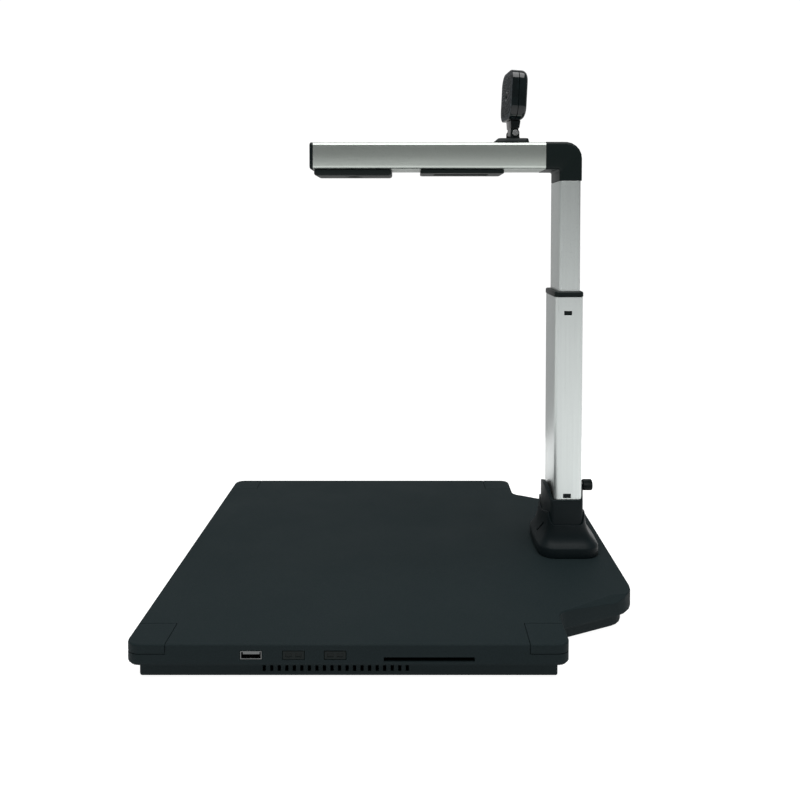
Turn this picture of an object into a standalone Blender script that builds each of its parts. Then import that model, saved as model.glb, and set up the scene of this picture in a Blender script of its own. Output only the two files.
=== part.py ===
"""Book scanner: a hard base plate with a telescopic column, a camera arm and a small webcam on top.

Frame: metres, +Z up, the base stands on z = 0, the column is at the rear (+X), and the ports
are on the -Y side. The origin is the centre of the footprint of the whole object.
"""
import math

import bmesh
import bpy
from mathutils import Matrix, Vector

MM = 0.001

# --- Driving dimensions -------------------------------------------------------------------
GAP = 0.3 * MM                      # clearance between pieces that touch
OVERCUT = 1 * MM                    # how far a cutter reaches past the face it opens
ARC_STEPS = 4                       # segments on a rounded corner
ROUND_SEGMENTS = 20                 # segments around a small turned piece
HOLE_SEGMENTS = 16                  # segments around a screw or its hole
LENS_SEGMENTS = 28                  # segments around a lens
SHARP_DEGREES = 35                  # edges sharper than this stay crisp

# Base plan: a rectangular plate with a tapered tab at the rear.
PLATE_FRONT_X = -180.8 * MM
PLATE_REAR_X = 117.4 * MM
PLATE_HALF_Y = 170 * MM
TAB_REAR_X = 180.8 * MM
TAB_ROOT_HALF_Y = 126 * MM
TAB_END_HALF_Y = 97 * MM
FRONT_CORNER_R = 9 * MM
REAR_CORNER_R = 8 * MM
NOTCH_R = 10 * MM
TAB_CORNER_R = 24 * MM

# Base heights.
BASE_TOP_Z = 27 * MM
EDGE_CHAMFER = 0.8 * MM
CASE_SPLIT_Z = 13.6 * MM
CASE_WALL = 2.5 * MM
LOWER_INSET = 7.5 * MM
LOWER_FLANGE_INSET = 1.2 * MM
LOWER_FLANGE_Z = 11.6 * MM
LOWER_BOTTOM_Z = 1.0 * MM
LOWER_ROUNDING = 2.0 * MM
LOWER_FLANGE_RISE = 0.6 * MM

# Bevels along the tab's slanted edges.
BEVEL_WIDTH = 5.5 * MM
BEVEL_DEPTH = 4 * MM
BEVEL_STATIONS = ((4 * MM, 0.02), (52 * MM, 1.0), (66 * MM, 0.3))   # along the edge, share of the width

# Corner caps let into the top cover.
CAP_X = 27 * MM
CAP_Y = 28 * MM
CAP_THICKNESS = 1.2 * MM
CAP_BOTTOM_Z = 20.5 * MM
CAP_REGION_OVER = 4 * MM            # how far the caps' regions reach past the cover

# Ports and slots in the -Y side.
PORT_WIDTH = 14.9 * MM
PORT_HEIGHT = 6.1 * MM
PORT_Z = 19.6 * MM
PORT_DEPTH = 14 * MM
PORT_SETBACK = 0.2 * MM
PORT_SHELL = 0.6 * MM
PORT_TONGUE_HALF_X = 5.6 * MM
PORT_TONGUE_Z = (0.1 * MM, 1.7 * MM)
USB_X = -96.2 * MM
BLANK_XS = (-67.8 * MM, -40.0 * MM)
BLANK_THICKNESS = 2.2 * MM
BLANK_RECESS_X = 3.3 * MM
BLANK_RECESS_HALF = (2.1 * MM, 1.2 * MM)
BLANK_RECESS_DEPTH = 0.5 * MM
CARD_X = 22.8 * MM
CARD_WIDTH = 60.7 * MM
CARD_HEIGHT = 2.9 * MM
CARD_Z = 16.75 * MM
CARD_DEPTH = 44 * MM
CARD_BODY_SIDE = 1.8 * MM
CARD_BODY_BACK = 4 * MM
CARD_BODY_Z = (-2.6 * MM, 4 * MM)   # below and above the slot's middle
VENT_COUNT = 20
VENT_PITCH = 5.1 * MM
VENT_FIRST_X = -88.8 * MM
VENT_WIDTH = 2.1 * MM
VENT_Z = (4.9 * MM, 9.1 * MM)

# Feet and case screws.
FOOT_R = 9 * MM
FOOT_HEIGHT = 2.4 * MM
FOOT_CHAMFER = 0.8 * MM
FOOT_PLACES = ((-155, -145), (-155, 145), (92, -145), (92, 145), (152, -72), (152, 72))
CASE_SCREW_PLACES = ((-150, -128), (-150, 128), (85, -128), (85, 128))
CASE_SCREW_R = 1.3 * MM
CASE_SCREW_HEAD_R = 2.8 * MM
CASE_SCREW_HEAD_Z = (1.2 * MM, 2.3 * MM)
CASE_SCREW_TIP_Z = (12 * MM, 13 * MM)
CASE_SCREW_TIP_R = 0.5 * MM
CASE_POST_R = 3.6 * MM
CASE_PILOT_TOP_Z = 14 * MM

# Boards and the rear socket.
BOARD_X = (-132 * MM, -16 * MM)
BOARD_Y = (-153 * MM, -60 * MM)
BOARD_Z = (14.6 * MM, 16.2 * MM)
BOARD_POST_PLACES = ((-126, -140), (-22, -140), (-126, -68), (-22, -68))
BOARD_POST_R = 3 * MM
ANTENNA_X = (-60 * MM, 40 * MM)
ANTENNA_Y = (-20 * MM, 80 * MM)
ANTENNA_Z = (22.6 * MM, 24.2 * MM)
ANTENNA_FRAME = 12 * MM
UPLINK_Y = -38 * MM
UPLINK_Z = 19.6 * MM
UPLINK_HALF_Y = 4.6 * MM
UPLINK_HALF_Z = 1.6 * MM
UPLINK_R = 1.5 * MM
UPLINK_MARGIN = 0.45 * MM
UPLINK_DEPTH = 9 * MM
UPLINK_WALL = 0.4 * MM
UPLINK_TONGUE_HALF = (3.3 * MM, 0.3 * MM)

# Column foot.
COLUMN_X = 144.5 * MM
BOOT_FRONT_X = 119 * MM
BOOT_REAR_X = 170.8 * MM
BOOT_HALF_Y = 35.4 * MM
BOOT_CORNER_R = 14 * MM
BOOT_BOW = 0.8 * MM
BOOT_RIM_Z = 35.6 * MM
BOOT_RIM_EASE = (0.7 * MM, 1.2 * MM)
BOOT_SIDE_TOP_Z = 52.3 * MM
BOOT_MIDDLE_TOP_Z = 57.5 * MM
BOOT_CORNER_TOP_Z = 62.5 * MM
BOOT_WALL = 2.3 * MM
BOOT_LIP = 1.3 * MM
BOOT_SLOT_HALF = (6 * MM, 8 * MM, 0.6 * MM)
BOOT_SLOT_Y = -9 * MM
BOOT_SLOT_Z = 44.5 * MM
BOOT_SLOT_INSET = 4 * MM
COLLAR_FRONT_X = 129.3 * MM
COLLAR_REAR_X = 157.4 * MM
COLLAR_HALF_Y = 26 * MM
COLLAR_R = 3.4 * MM
COLLAR_BOW = 2.8 * MM
COLLAR_INNER_BOW = 1.9 * MM
COLLAR_EASE = (0.4 * MM, 1.2 * MM)
COLLAR_BOTTOM_Z = 41 * MM
COLLAR_SIDE_TOP_Z = 73.5 * MM
FRONT_TONGUE_Z = 81 * MM
REAR_TONGUE_Z = 82.8 * MM
TONGUE_POWER = 3
CABLE_OPENING_HALF = (6.5 * MM, 12 * MM)
FLANGE_Z = (27.3 * MM, 32.6 * MM)
FLANGE_SIZE = (41 * MM, 60 * MM)
FLANGE_R = 4 * MM
SPIGOT_SIZE = (20.5 * MM, 44.8 * MM)
SPIGOT_R = 2.5 * MM
SPIGOT_WALL = 2.5 * MM
SPIGOT_FLOOR = 2 * MM
COLUMN_SCREW_DX = 16 * MM
COLUMN_SCREW_DY = 25 * MM
COLUMN_SCREW_R = 1.6 * MM
COLUMN_SCREW_HEAD_R = 3 * MM
COLUMN_SCREW_HEAD_Z = (18.8 * MM, 20.9 * MM)
COLUMN_SCREW_TOP_Z = 31 * MM
PLATE_Z = (21.2 * MM, 24.2 * MM)
PLATE_HALF_SIZE = (24 * MM, 34 * MM)

# Column tubes.
OUTER_X = 23.7 * MM
OUTER_Y = 48 * MM
OUTER_R = 3.2 * MM
OUTER_Z = (33 * MM, 246.3 * MM)
TUBE_WALL = 1.2 * MM
INNER_X = 18.1 * MM
INNER_Y = 42.8 * MM
INNER_R = 2.6 * MM
INNER_CENTRE_X = 145.2 * MM
INNER_Z = (205 * MM, 344.3 * MM)
WINDOW_WIDTH = 6.6 * MM
WINDOW_HEIGHT = 3.7 * MM
WINDOW_X = 143.5 * MM
UPPER_WINDOW_Z = 232.7 * MM
LOWER_WINDOW_Z = 76.6 * MM
SPIGOT_TOP_Z = 90 * MM
FERRULE_TOP_Z = 251 * MM
FERRULE_PROUD = 0.5 * MM
SLEEVE_BOTTOM_Z = 205.4 * MM
FERRULE_EASE = (0.8 * MM, 1 * MM)
SHOE_HEIGHT = 8.4 * MM
SHOE_PLUG = 9 * MM
SHOE_BORE = (11 * MM, 32 * MM)
SHOE_BORE_R = 2 * MM
COIL_R = 5 * MM
COIL_BORE_R = 3.6 * MM
COIL_Z = (92 * MM, 195.7 * MM)

# Elbow and arm.
ELBOW_BOTTOM_Z = 344.6 * MM
ELBOW_TOP_Z = 377.4 * MM
ELBOW_UNDER_Z = 354.0 * MM
ELBOW_FRONT_X = 124.9 * MM
ELBOW_REAR_X = 155.3 * MM
ELBOW_OUTER_R = 14 * MM
ELBOW_INNER_R = 1.6 * MM
ELBOW_INNER_X = INNER_CENTRE_X - INNER_X / 2
ELBOW_STEPS = 10
ELBOW_DOWN_PLUG = 14 * MM
ELBOW_ARM_PLUG = 13 * MM
ELBOW_CHANNEL_HALF = (4.5 * MM, 13 * MM)
PLUG_OVERLAP = 2 * MM
ARM_FRONT_X = -72 * MM
ARM_Z = (354.2 * MM, 377.0 * MM)
ARM_HALF_Y = 21.4 * MM
ARM_R = 3 * MM
ARM_WALL = 1.5 * MM
END_CAP_X = -75 * MM
END_CAP_PLUG = 6 * MM
CAMERA_OPENING_HALF = 12 * MM
LIGHT_OPENING_HALF = 6 * MM
ARM_CABLE_R = 1.8 * MM
ARM_CABLE_BEND = 8 * MM

# Modules below the arm.
CAMERA_X = (-71.5 * MM, -5.9 * MM)
CAMERA_BOTTOM_Z = 349.0 * MM
CAMERA_BOARD_X = (-64 * MM, -10 * MM)
CAMERA_BOARD_HALF_Y = 17 * MM
BOARD_THICKNESS = 1.6 * MM
LENS_X = -38.7 * MM
LENS_R = 7 * MM
LENS_MOUTH_R = 4.6 * MM
LENS_SETBACK = 0.3 * MM
LIGHT_X = (18.8 * MM, 89.7 * MM)
LIGHT_BOTTOM_Z = 350.8 * MM
LIGHT_SKIN = 1.0 * MM
LIGHT_APERTURE_INSET = 12 * MM
LIGHT_STRIP = 0.7 * MM
MODULE_HALF_Y = 20 * MM
MODULE_TOP_Z = 353.9 * MM
MODULE_R = 3 * MM
MODULE_WALL = 1.4 * MM

# Webcam: the pivot is on the tilt axis, local x points to the rear, local y to the far side.
PIVOT = Vector((99.1 * MM, 0, 386.2 * MM))
SWIVEL_YAW = math.radians(6)
HEAD_TILT = math.radians(2.7)
WEBCAM_FOOT_X = (81.5 * MM, 111.9 * MM)
WEBCAM_FOOT_HALF_Y = 14 * MM
WEBCAM_FOOT_Z = (377.3 * MM, 381.4 * MM)
FORK_BASE_THICKNESS = 0.7 * MM
FORK_LEDGE = 0.4 * MM
CHEEK_Y = (6.6 * MM, 9.0 * MM)
CHEEK_R = 3.8 * MM
KNUCKLE_R = 3.5 * MM
KNUCKLE_HALF_Y = 6.2 * MM
NECK_BOTTOM_HALF_X = 3.7 * MM
NECK_TOP_HALF_X = 4.4 * MM
NECK_BOTTOM_Z = 4.4 * MM
NECK_R = 1.2 * MM
HINGE_SCREW_R = 1.5 * MM
HINGE_HEAD_R = 2.7 * MM
HINGE_HEAD_HEIGHT = 1.4 * MM
HINGE_NUT_R = 2.9 * MM
HINGE_NUT_HEIGHT = 2.2 * MM
HEAD_HALF_Y = 20.8 * MM
HEAD_Z = (10.8 * MM, 53.0 * MM)
HEAD_CORNER_R = 11 * MM
HEAD_FRONT_X = -7.2 * MM
HEAD_REAR_X = 6.8 * MM
HEAD_SPLIT_X = -1.2 * MM
HEAD_WALL = 1.6 * MM
HEAD_REAR_ROUNDING = 4.6 * MM
HEAD_ARC_STEPS = 6
WEBCAM_LENS_R = 4.4 * MM
WEBCAM_BOARD_HALF_Y = 13 * MM
WEBCAM_BOARD_MARGIN_Z = 8 * MM

# Thumbscrew on the rear of the boot.
SCREW_Z = 78.5 * MM
SHANK_R = 2.0 * MM
SHANK_X = (151 * MM, 166 * MM)
KNOB_X = (161.5 * MM, 170.3 * MM)
KNOB_R = 4.9 * MM
KNOB_LOBES = 16
KNOB_LOBE_DEPTH = 0.35 * MM


# --- Scene and materials ------------------------------------------------------------------
def clear_scene():
    for obj in list(bpy.data.objects):
        bpy.data.objects.remove(obj, do_unlink=True)


def material(name, color, roughness, metallic=0.0):
    mat = bpy.data.materials.new(name)
    mat.use_nodes = True
    shader = mat.node_tree.nodes["Principled BSDF"]
    shader.inputs["Base Color"].default_value = (*color, 1.0)
    shader.inputs["Roughness"].default_value = roughness
    shader.inputs["Metallic"].default_value = metallic
    return mat


def make_materials():
    return {
        "case": material("textured_abs", (0.021, 0.029, 0.032), 0.55),
        "boot": material("boot_plastic", (0.010, 0.014, 0.016), 0.42),
        "satin": material("satin_black", (0.008, 0.011, 0.012), 0.35),
        "alu": material("satin_aluminium", (0.46, 0.49, 0.48), 0.34, 1.0),
        "steel": material("steel", (0.55, 0.56, 0.57), 0.30, 1.0),
        "rubber": material("rubber", (0.02, 0.02, 0.02), 0.85),
        "board": material("circuit_board", (0.02, 0.12, 0.05), 0.50),
        "cable": material("cable_jacket", (0.02, 0.02, 0.022), 0.60),
        "glass": material("lens_glass", (0.02, 0.02, 0.03), 0.05),
        "diffuser": material("diffuser", (0.80, 0.80, 0.78), 0.40),
    }


# --- Outlines -----------------------------------------------------------------------------
def rounded_outline(corners, inset=0.0, steps=ARC_STEPS):
    """Counter-clockwise outline through (x, y, radius) corners, moved inwards by inset."""
    points = []
    count = len(corners)
    for index, (x, y, radius) in enumerate(corners):
        here = Vector((x, y))
        before = Vector(corners[index - 1][:2])
        after = Vector(corners[(index + 1) % count][:2])
        into = (here - before).normalized()
        out = (after - here).normalized()
        normal_in = Vector((-into.y, into.x))
        normal_out = Vector((-out.y, out.x))
        turn = math.atan2(into.x * out.y - into.y * out.x, into.dot(out))
        side = 1.0 if turn > 0 else -1.0
        arc_radius = max(radius - side * inset, 0.05 * MM)
        reach = (normal_in + normal_out) / (1.0 + normal_in.dot(normal_out))
        centre = here + reach * (inset + side * arc_radius)
        start = -side * arc_radius * normal_in
        for step in range(steps + 1):
            angle = turn * step / steps
            turned = Matrix.Rotation(angle, 2) @ start
            points.append(centre + turned)
    return points


def rectangle(x_low, x_high, y_low, y_high, radius):
    return [(x_low, y_low, radius), (x_high, y_low, radius),
            (x_high, y_high, radius), (x_low, y_high, radius)]


def box_outline(centre_x, size_x, size_y, radius, inset=0.0, steps=ARC_STEPS):
    """Rounded rectangle centred on (centre_x, 0)."""
    corners = rectangle(centre_x - size_x / 2, centre_x + size_x / 2,
                        -size_y / 2, size_y / 2, radius)
    return rounded_outline(corners, inset, steps)


def base_corners():
    return [
        (PLATE_FRONT_X, -PLATE_HALF_Y, FRONT_CORNER_R),
        (PLATE_REAR_X, -PLATE_HALF_Y, REAR_CORNER_R),
        (PLATE_REAR_X, -TAB_ROOT_HALF_Y, NOTCH_R),
        (TAB_REAR_X, -TAB_END_HALF_Y, TAB_CORNER_R),
        (TAB_REAR_X, TAB_END_HALF_Y, TAB_CORNER_R),
        (PLATE_REAR_X, TAB_ROOT_HALF_Y, NOTCH_R),
        (PLATE_REAR_X, PLATE_HALF_Y, REAR_CORNER_R),
        (PLATE_FRONT_X, PLATE_HALF_Y, FRONT_CORNER_R),
    ]


def in_xy(outline, z):
    return [Vector((p.x, p.y, z)) for p in outline]


def in_yz(outline, x):
    return [Vector((x, p.x, p.y)) for p in outline]


# --- Mesh helpers -------------------------------------------------------------------------
def mesh_object(name, bm, mat):
    bmesh.ops.recalc_face_normals(bm, faces=bm.faces)
    mesh = bpy.data.meshes.new(name)
    bm.to_mesh(mesh)
    bm.free()
    mesh.shade_smooth()
    mesh.set_sharp_from_angle(angle=math.radians(SHARP_DEGREES))
    mesh.materials.append(mat)
    obj = bpy.data.objects.new(name, mesh)
    bpy.context.scene.collection.objects.link(obj)
    return obj


def stack(name, rings, mat, closed=False):
    """Skin a list of equal rings, with end faces, or joined end to end when closed."""
    bm = bmesh.new()
    loops = [[bm.verts.new(point) for point in ring] for ring in rings]
    pairs = list(zip(loops, loops[1:]))
    if closed:
        pairs.append((loops[-1], loops[0]))
    size = len(loops[0])
    for lower, upper in pairs:
        for i in range(size):
            j = (i + 1) % size
            bm.faces.new((lower[i], lower[j], upper[j], upper[i]))
    if not closed:
        bm.faces.new(loops[0])
        bm.faces.new(loops[-1])
    return mesh_object(name, bm, mat)


def block(name, low, high, mat):
    bm = bmesh.new()
    bmesh.ops.create_cube(bm, size=1.0)
    for vert in bm.verts:
        for axis in range(3):
            middle = (low[axis] + high[axis]) / 2
            vert.co[axis] = middle + vert.co[axis] * (high[axis] - low[axis])
    return mesh_object(name, bm, mat)


def turned(name, profile, place, direction, mat, segments=ROUND_SEGMENTS, radius_at=None):
    """Solid of revolution from (radius, height) points, along direction from place."""
    turn = Vector((0, 0, 1)).rotation_difference(Vector(direction)).to_matrix()
    rings = []
    for radius, height in profile:
        ring = []
        for step in range(segments):
            angle = 2 * math.pi * step / segments
            reach = radius if radius_at is None else radius_at(radius, angle)
            local = Vector((reach * math.cos(angle), reach * math.sin(angle), height))
            ring.append(turn @ local + Vector(place))
        rings.append(ring)
    return stack(name, rings, mat)


def cylinder(name, place, direction, length, radius, mat, segments=ROUND_SEGMENTS):
    return turned(name, [(radius, 0), (radius, length)], place, direction, mat, segments)


def join(name, pieces):
    """Join meshes of separate helper pieces into one object."""
    bm = bmesh.new()
    mat = pieces[0].data.materials[0]
    for piece in pieces:
        bm.from_mesh(piece.data)
        bpy.data.objects.remove(piece, do_unlink=True)
    return mesh_object(name, bm, mat)


def combine(target, tool, operation):
    """Boolean the tool into the target, keep the result as the target's mesh."""
    modifier = target.modifiers.new("boolean", "BOOLEAN")
    modifier.operation = operation
    modifier.solver = "EXACT"
    modifier.object = tool
    graph = bpy.context.evaluated_depsgraph_get()
    result = bpy.data.meshes.new_from_object(target.evaluated_get(graph))
    target.modifiers.remove(modifier)
    target.data = result
    result.set_sharp_from_angle(angle=math.radians(SHARP_DEGREES))
    bpy.data.objects.remove(tool, do_unlink=True)
    return target


def cut(target, *tools):
    return combine(target, join("cutter", list(tools)), "DIFFERENCE")


def add(target, *tools):
    for tool in tools:
        combine(target, tool, "UNION")
    return target


def pivot_empty(name, place, rotation=(0, 0, 0), parent=None):
    empty = bpy.data.objects.new(name, None)
    empty.location = place
    empty.rotation_euler = rotation
    empty.parent = parent
    bpy.context.scene.collection.objects.link(empty)
    return empty


def carry(pivot, pieces):
    """Parent pieces modelled in the world frame to an unrotated pivot, leaving them in place."""
    for piece in pieces:
        piece.parent = pivot
        piece.matrix_parent_inverse = Matrix.Translation(-pivot.location)


# --- Base ---------------------------------------------------------------------------------
def corner_boxes(grow, mat):
    """One block over each of the four plate corners, grown by a clearance."""
    boxes = []
    over = CAP_REGION_OVER
    for x_edge, x_sign in ((PLATE_FRONT_X, 1), (PLATE_REAR_X, -1)):
        for y_sign in (-1, 1):
            x_in = x_edge + x_sign * (CAP_X + grow)
            x_out = x_edge - x_sign * over
            y_in = y_sign * (PLATE_HALF_Y - CAP_Y - grow)
            y_out = y_sign * (PLATE_HALF_Y + over)
            low = (min(x_in, x_out), min(y_in, y_out), CAP_BOTTOM_Z - over)
            high = (max(x_in, x_out), max(y_in, y_out), BASE_TOP_Z + over)
            boxes.append(block("corner_box", low, high, mat))
    return boxes


def corner_skin(name, mat):
    """Skin of the top cover that the corner caps are cut from."""
    corners = base_corners()
    levels = [
        (EDGE_CHAMFER, BASE_TOP_Z), (0, BASE_TOP_Z - EDGE_CHAMFER), (0, CAP_BOTTOM_Z),
        (CAP_THICKNESS, CAP_BOTTOM_Z), (CAP_THICKNESS, BASE_TOP_Z - CAP_THICKNESS),
    ]
    return stack(name, [in_xy(rounded_outline(corners, i), z) for i, z in levels], mat)


def corner_pocket(mat):
    """Cutter for the four pockets that hold the corner caps."""
    corners = base_corners()
    depth = CAP_THICKNESS + GAP
    levels = [
        (-OVERCUT, BASE_TOP_Z + OVERCUT), (-OVERCUT, CAP_BOTTOM_Z - GAP),
        (depth, CAP_BOTTOM_Z - GAP), (depth, BASE_TOP_Z - depth),
    ]
    pocket = stack("pocket", [in_xy(rounded_outline(corners, i), z) for i, z in levels], mat)
    return combine(pocket, join("corner_boxes", corner_boxes(GAP, mat)), "INTERSECT")


def corner_caps(mat):
    caps = []
    names = ("corner_cap_front_right", "corner_cap_front_left",
             "corner_cap_rear_right", "corner_cap_rear_left")
    for name, region in zip(names, corner_boxes(0, mat)):
        caps.append(combine(corner_skin(name, mat), region, "INTERSECT"))
    return caps


def side_openings(mat):
    """Openings for the port, the two blanks and the card slot in the -Y wall."""
    y_low = -PLATE_HALF_Y - OVERCUT
    y_high = -PLATE_HALF_Y + CASE_WALL + OVERCUT
    openings = [(x, PORT_Z, PORT_WIDTH, PORT_HEIGHT) for x in (USB_X, *BLANK_XS)]
    openings.append((CARD_X, CARD_Z, CARD_WIDTH, CARD_HEIGHT))
    return [block("opening", (x - width / 2, y_low, z - height / 2),
                  (x + width / 2, y_high, z + height / 2), mat)
            for x, z, width, height in openings]


def column_screw_places():
    return [(COLUMN_X + sx * COLUMN_SCREW_DX, sy * COLUMN_SCREW_DY)
            for sx in (-1, 1) for sy in (-1, 1)]


def column_passages(z_low, z_high, mat):
    """Cable opening and four screw holes below the column."""
    half_x, half_y = CABLE_OPENING_HALF
    tools = [block("cable_opening", (COLUMN_X - half_x, -half_y, z_low),
                   (COLUMN_X + half_x, half_y, z_high), mat)]
    for x, y in column_screw_places():
        tools.append(cylinder("hole", (x, y, z_low), (0, 0, 1), z_high - z_low,
                              COLUMN_SCREW_R + GAP, mat, HOLE_SEGMENTS))
    return tools


def tab_bevel(side, mat):
    """Cutter for the bevel along the tab's slanted edge on one side, widening to the rear."""
    root = Vector((PLATE_REAR_X, side * TAB_ROOT_HALF_Y, 0))
    along = (Vector((TAB_REAR_X, side * TAB_END_HALF_Y, 0)) - root).normalized()
    inwards = Vector((along.y, -along.x, 0)) * side
    slope = BEVEL_DEPTH / BEVEL_WIDTH
    rings = []
    for distance, share in BEVEL_STATIONS:
        width = BEVEL_WIDTH * share
        section = ((width, 0), (-OVERCUT, -slope * (width + OVERCUT)),
                   (-OVERCUT, OVERCUT), (width, OVERCUT))
        rings.append([root + along * distance + inwards * reach
                      + Vector((0, 0, BASE_TOP_Z + height)) for reach, height in section])
    return stack("tab_bevel", rings, mat)


def top_cover(mat):
    corners = base_corners()
    ceiling_z = BASE_TOP_Z - CASE_WALL
    levels = [
        (EDGE_CHAMFER, BASE_TOP_Z), (0, BASE_TOP_Z - EDGE_CHAMFER), (0, CASE_SPLIT_Z),
        (CASE_WALL, CASE_SPLIT_Z), (CASE_WALL, ceiling_z),
    ]
    cover = stack("top_cover", [in_xy(rounded_outline(corners, i), z) for i, z in levels], mat)
    post_z = LOWER_BOTTOM_Z + CASE_WALL + GAP
    for x, y in CASE_SCREW_PLACES:
        add(cover, cylinder("post", (x * MM, y * MM, post_z), (0, 0, 1),
                            ceiling_z + OVERCUT - post_z, CASE_POST_R, mat, HOLE_SEGMENTS))
    tools = side_openings(mat)
    tools += column_passages(ceiling_z - OVERCUT, BASE_TOP_Z + OVERCUT, mat)
    for x, y in CASE_SCREW_PLACES:
        tools.append(cylinder("pilot", (x * MM, y * MM, post_z - OVERCUT), (0, 0, 1),
                              CASE_PILOT_TOP_Z - post_z + OVERCUT, CASE_SCREW_R + GAP, mat,
                              HOLE_SEGMENTS))
    half_y = UPLINK_HALF_Y + UPLINK_MARGIN
    half_z = UPLINK_HALF_Z + UPLINK_MARGIN
    tools.append(block("uplink_opening",
                       (TAB_REAR_X - CASE_WALL - OVERCUT, UPLINK_Y - half_y, UPLINK_Z - half_z),
                       (TAB_REAR_X + OVERCUT, UPLINK_Y + half_y, UPLINK_Z + half_z), mat))
    cut(cover, *tools)
    cut(cover, corner_pocket(mat))
    cut(cover, tab_bevel(-1, mat), tab_bevel(1, mat))
    return cover


def bottom_cover(mat):
    corners = base_corners()
    wall_z = LOWER_BOTTOM_Z + LOWER_ROUNDING
    rounding_steps = 3
    levels = []
    for step in range(rounding_steps + 1):
        angle = math.pi / 2 * step / rounding_steps
        levels.append((LOWER_INSET + LOWER_ROUNDING * (1 - math.sin(angle)),
                       wall_z - LOWER_ROUNDING * math.cos(angle)))
    inner = LOWER_INSET + CASE_WALL
    floor_z = LOWER_BOTTOM_Z + CASE_WALL
    levels += [
        (LOWER_INSET, LOWER_FLANGE_Z), (LOWER_FLANGE_INSET, LOWER_FLANGE_Z + LOWER_FLANGE_RISE),
        (LOWER_FLANGE_INSET, CASE_SPLIT_Z - GAP), (inner, CASE_SPLIT_Z - GAP), (inner, floor_z),
    ]
    tray = stack("bottom_cover", [in_xy(rounded_outline(corners, i), z) for i, z in levels], mat)
    post_z = floor_z - OVERCUT
    for x, y in BOARD_POST_PLACES:
        add(tray, cylinder("standoff", (x * MM, y * MM, post_z), (0, 0, 1),
                           BOARD_Z[0] - GAP - post_z, BOARD_POST_R, mat, HOLE_SEGMENTS))
    tools = []
    for index in range(VENT_COUNT):
        x = VENT_FIRST_X + index * VENT_PITCH
        tools.append(block("vent", (x - VENT_WIDTH / 2, -PLATE_HALF_Y + LOWER_INSET - OVERCUT,
                                    VENT_Z[0]),
                           (x + VENT_WIDTH / 2, -PLATE_HALF_Y + inner + OVERCUT, VENT_Z[1]), mat))
    for x, y in FOOT_PLACES:
        tools.append(cylinder("foot_pocket", (x * MM, y * MM, 0), (0, 0, 1),
                              FOOT_HEIGHT + GAP, FOOT_R + GAP, mat))
    seat_r = CASE_SCREW_HEAD_R + GAP
    seat_z = CASE_SCREW_HEAD_Z[1] + GAP
    for x, y in CASE_SCREW_PLACES:
        tools.append(turned("screw_seat",
                            [(seat_r, 0), (seat_r, seat_z), (CASE_SCREW_R + GAP, seat_z),
                             (CASE_SCREW_R + GAP, floor_z + OVERCUT)],
                            (x * MM, y * MM, 0), (0, 0, 1), mat, HOLE_SEGMENTS))
    return cut(tray, *tools)


def feet(mat):
    profile = [(FOOT_R - FOOT_CHAMFER, 0), (FOOT_R, FOOT_CHAMFER), (FOOT_R, FOOT_HEIGHT)]
    return [turned(f"foot_{i + 1}", profile, (x * MM, y * MM, 0), (0, 0, 1), mat)
            for i, (x, y) in enumerate(FOOT_PLACES)]


def case_screws(mat):
    low_z, high_z = CASE_SCREW_HEAD_Z
    tip_low, tip_high = CASE_SCREW_TIP_Z
    profile = [(CASE_SCREW_HEAD_R - GAP, low_z), (CASE_SCREW_HEAD_R, low_z + GAP),
               (CASE_SCREW_HEAD_R, high_z), (CASE_SCREW_R, high_z),
               (CASE_SCREW_R, tip_low), (CASE_SCREW_TIP_R, tip_high)]
    return [turned(f"case_screw_{i + 1}", profile, (x * MM, y * MM, 0), (0, 0, 1), mat,
                   HOLE_SEGMENTS)
            for i, (x, y) in enumerate(CASE_SCREW_PLACES)]


# --- Electronics in the base --------------------------------------------------------------
def usb_port(mat):
    """Receptacle with a contact tongue that stands on the back wall."""
    half_x = PORT_WIDTH / 2 - GAP
    half_z = PORT_HEIGHT / 2 - GAP
    front_y = -PLATE_HALF_Y + PORT_SETBACK
    back_y = front_y + PORT_DEPTH
    inner_x = half_x - PORT_SHELL
    inner_z = half_z - PORT_SHELL
    shell = block("usb_port", (USB_X - half_x, front_y, PORT_Z - half_z),
                  (USB_X + half_x, back_y, PORT_Z + half_z), mat)
    cut(shell, block("cavity", (USB_X - inner_x, front_y - OVERCUT, PORT_Z - inner_z),
                     (USB_X + inner_x, back_y - PORT_SHELL, PORT_Z + inner_z), mat))
    tongue_low = (USB_X - PORT_TONGUE_HALF_X, front_y + OVERCUT, PORT_Z + PORT_TONGUE_Z[0])
    tongue_high = (USB_X + PORT_TONGUE_HALF_X, back_y - PORT_SHELL / 2, PORT_Z + PORT_TONGUE_Z[1])
    return add(shell, block("tongue", tongue_low, tongue_high, mat))


def port_blanks(mat):
    """Covers over the two unused port openings, each with two shallow recesses."""
    blanks = []
    front_y = -PLATE_HALF_Y + PORT_SETBACK
    half_x = PORT_WIDTH / 2 - GAP
    half_z = PORT_HEIGHT / 2 - GAP
    recess_x, recess_z = BLANK_RECESS_HALF
    for index, x in enumerate(BLANK_XS):
        cover = block(f"port_blank_{index + 1}", (x - half_x, front_y, PORT_Z - half_z),
                      (x + half_x, front_y + BLANK_THICKNESS, PORT_Z + half_z), mat)
        recesses = []
        for side in (-1, 1):
            middle = x + side * BLANK_RECESS_X
            low = (middle - recess_x, front_y - OVERCUT, PORT_Z - recess_z)
            high = (middle + recess_x, front_y + BLANK_RECESS_DEPTH, PORT_Z + recess_z)
            recesses.append(block("recess", low, high, mat))
        blanks.append(cut(cover, *recesses))
    return blanks


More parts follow.
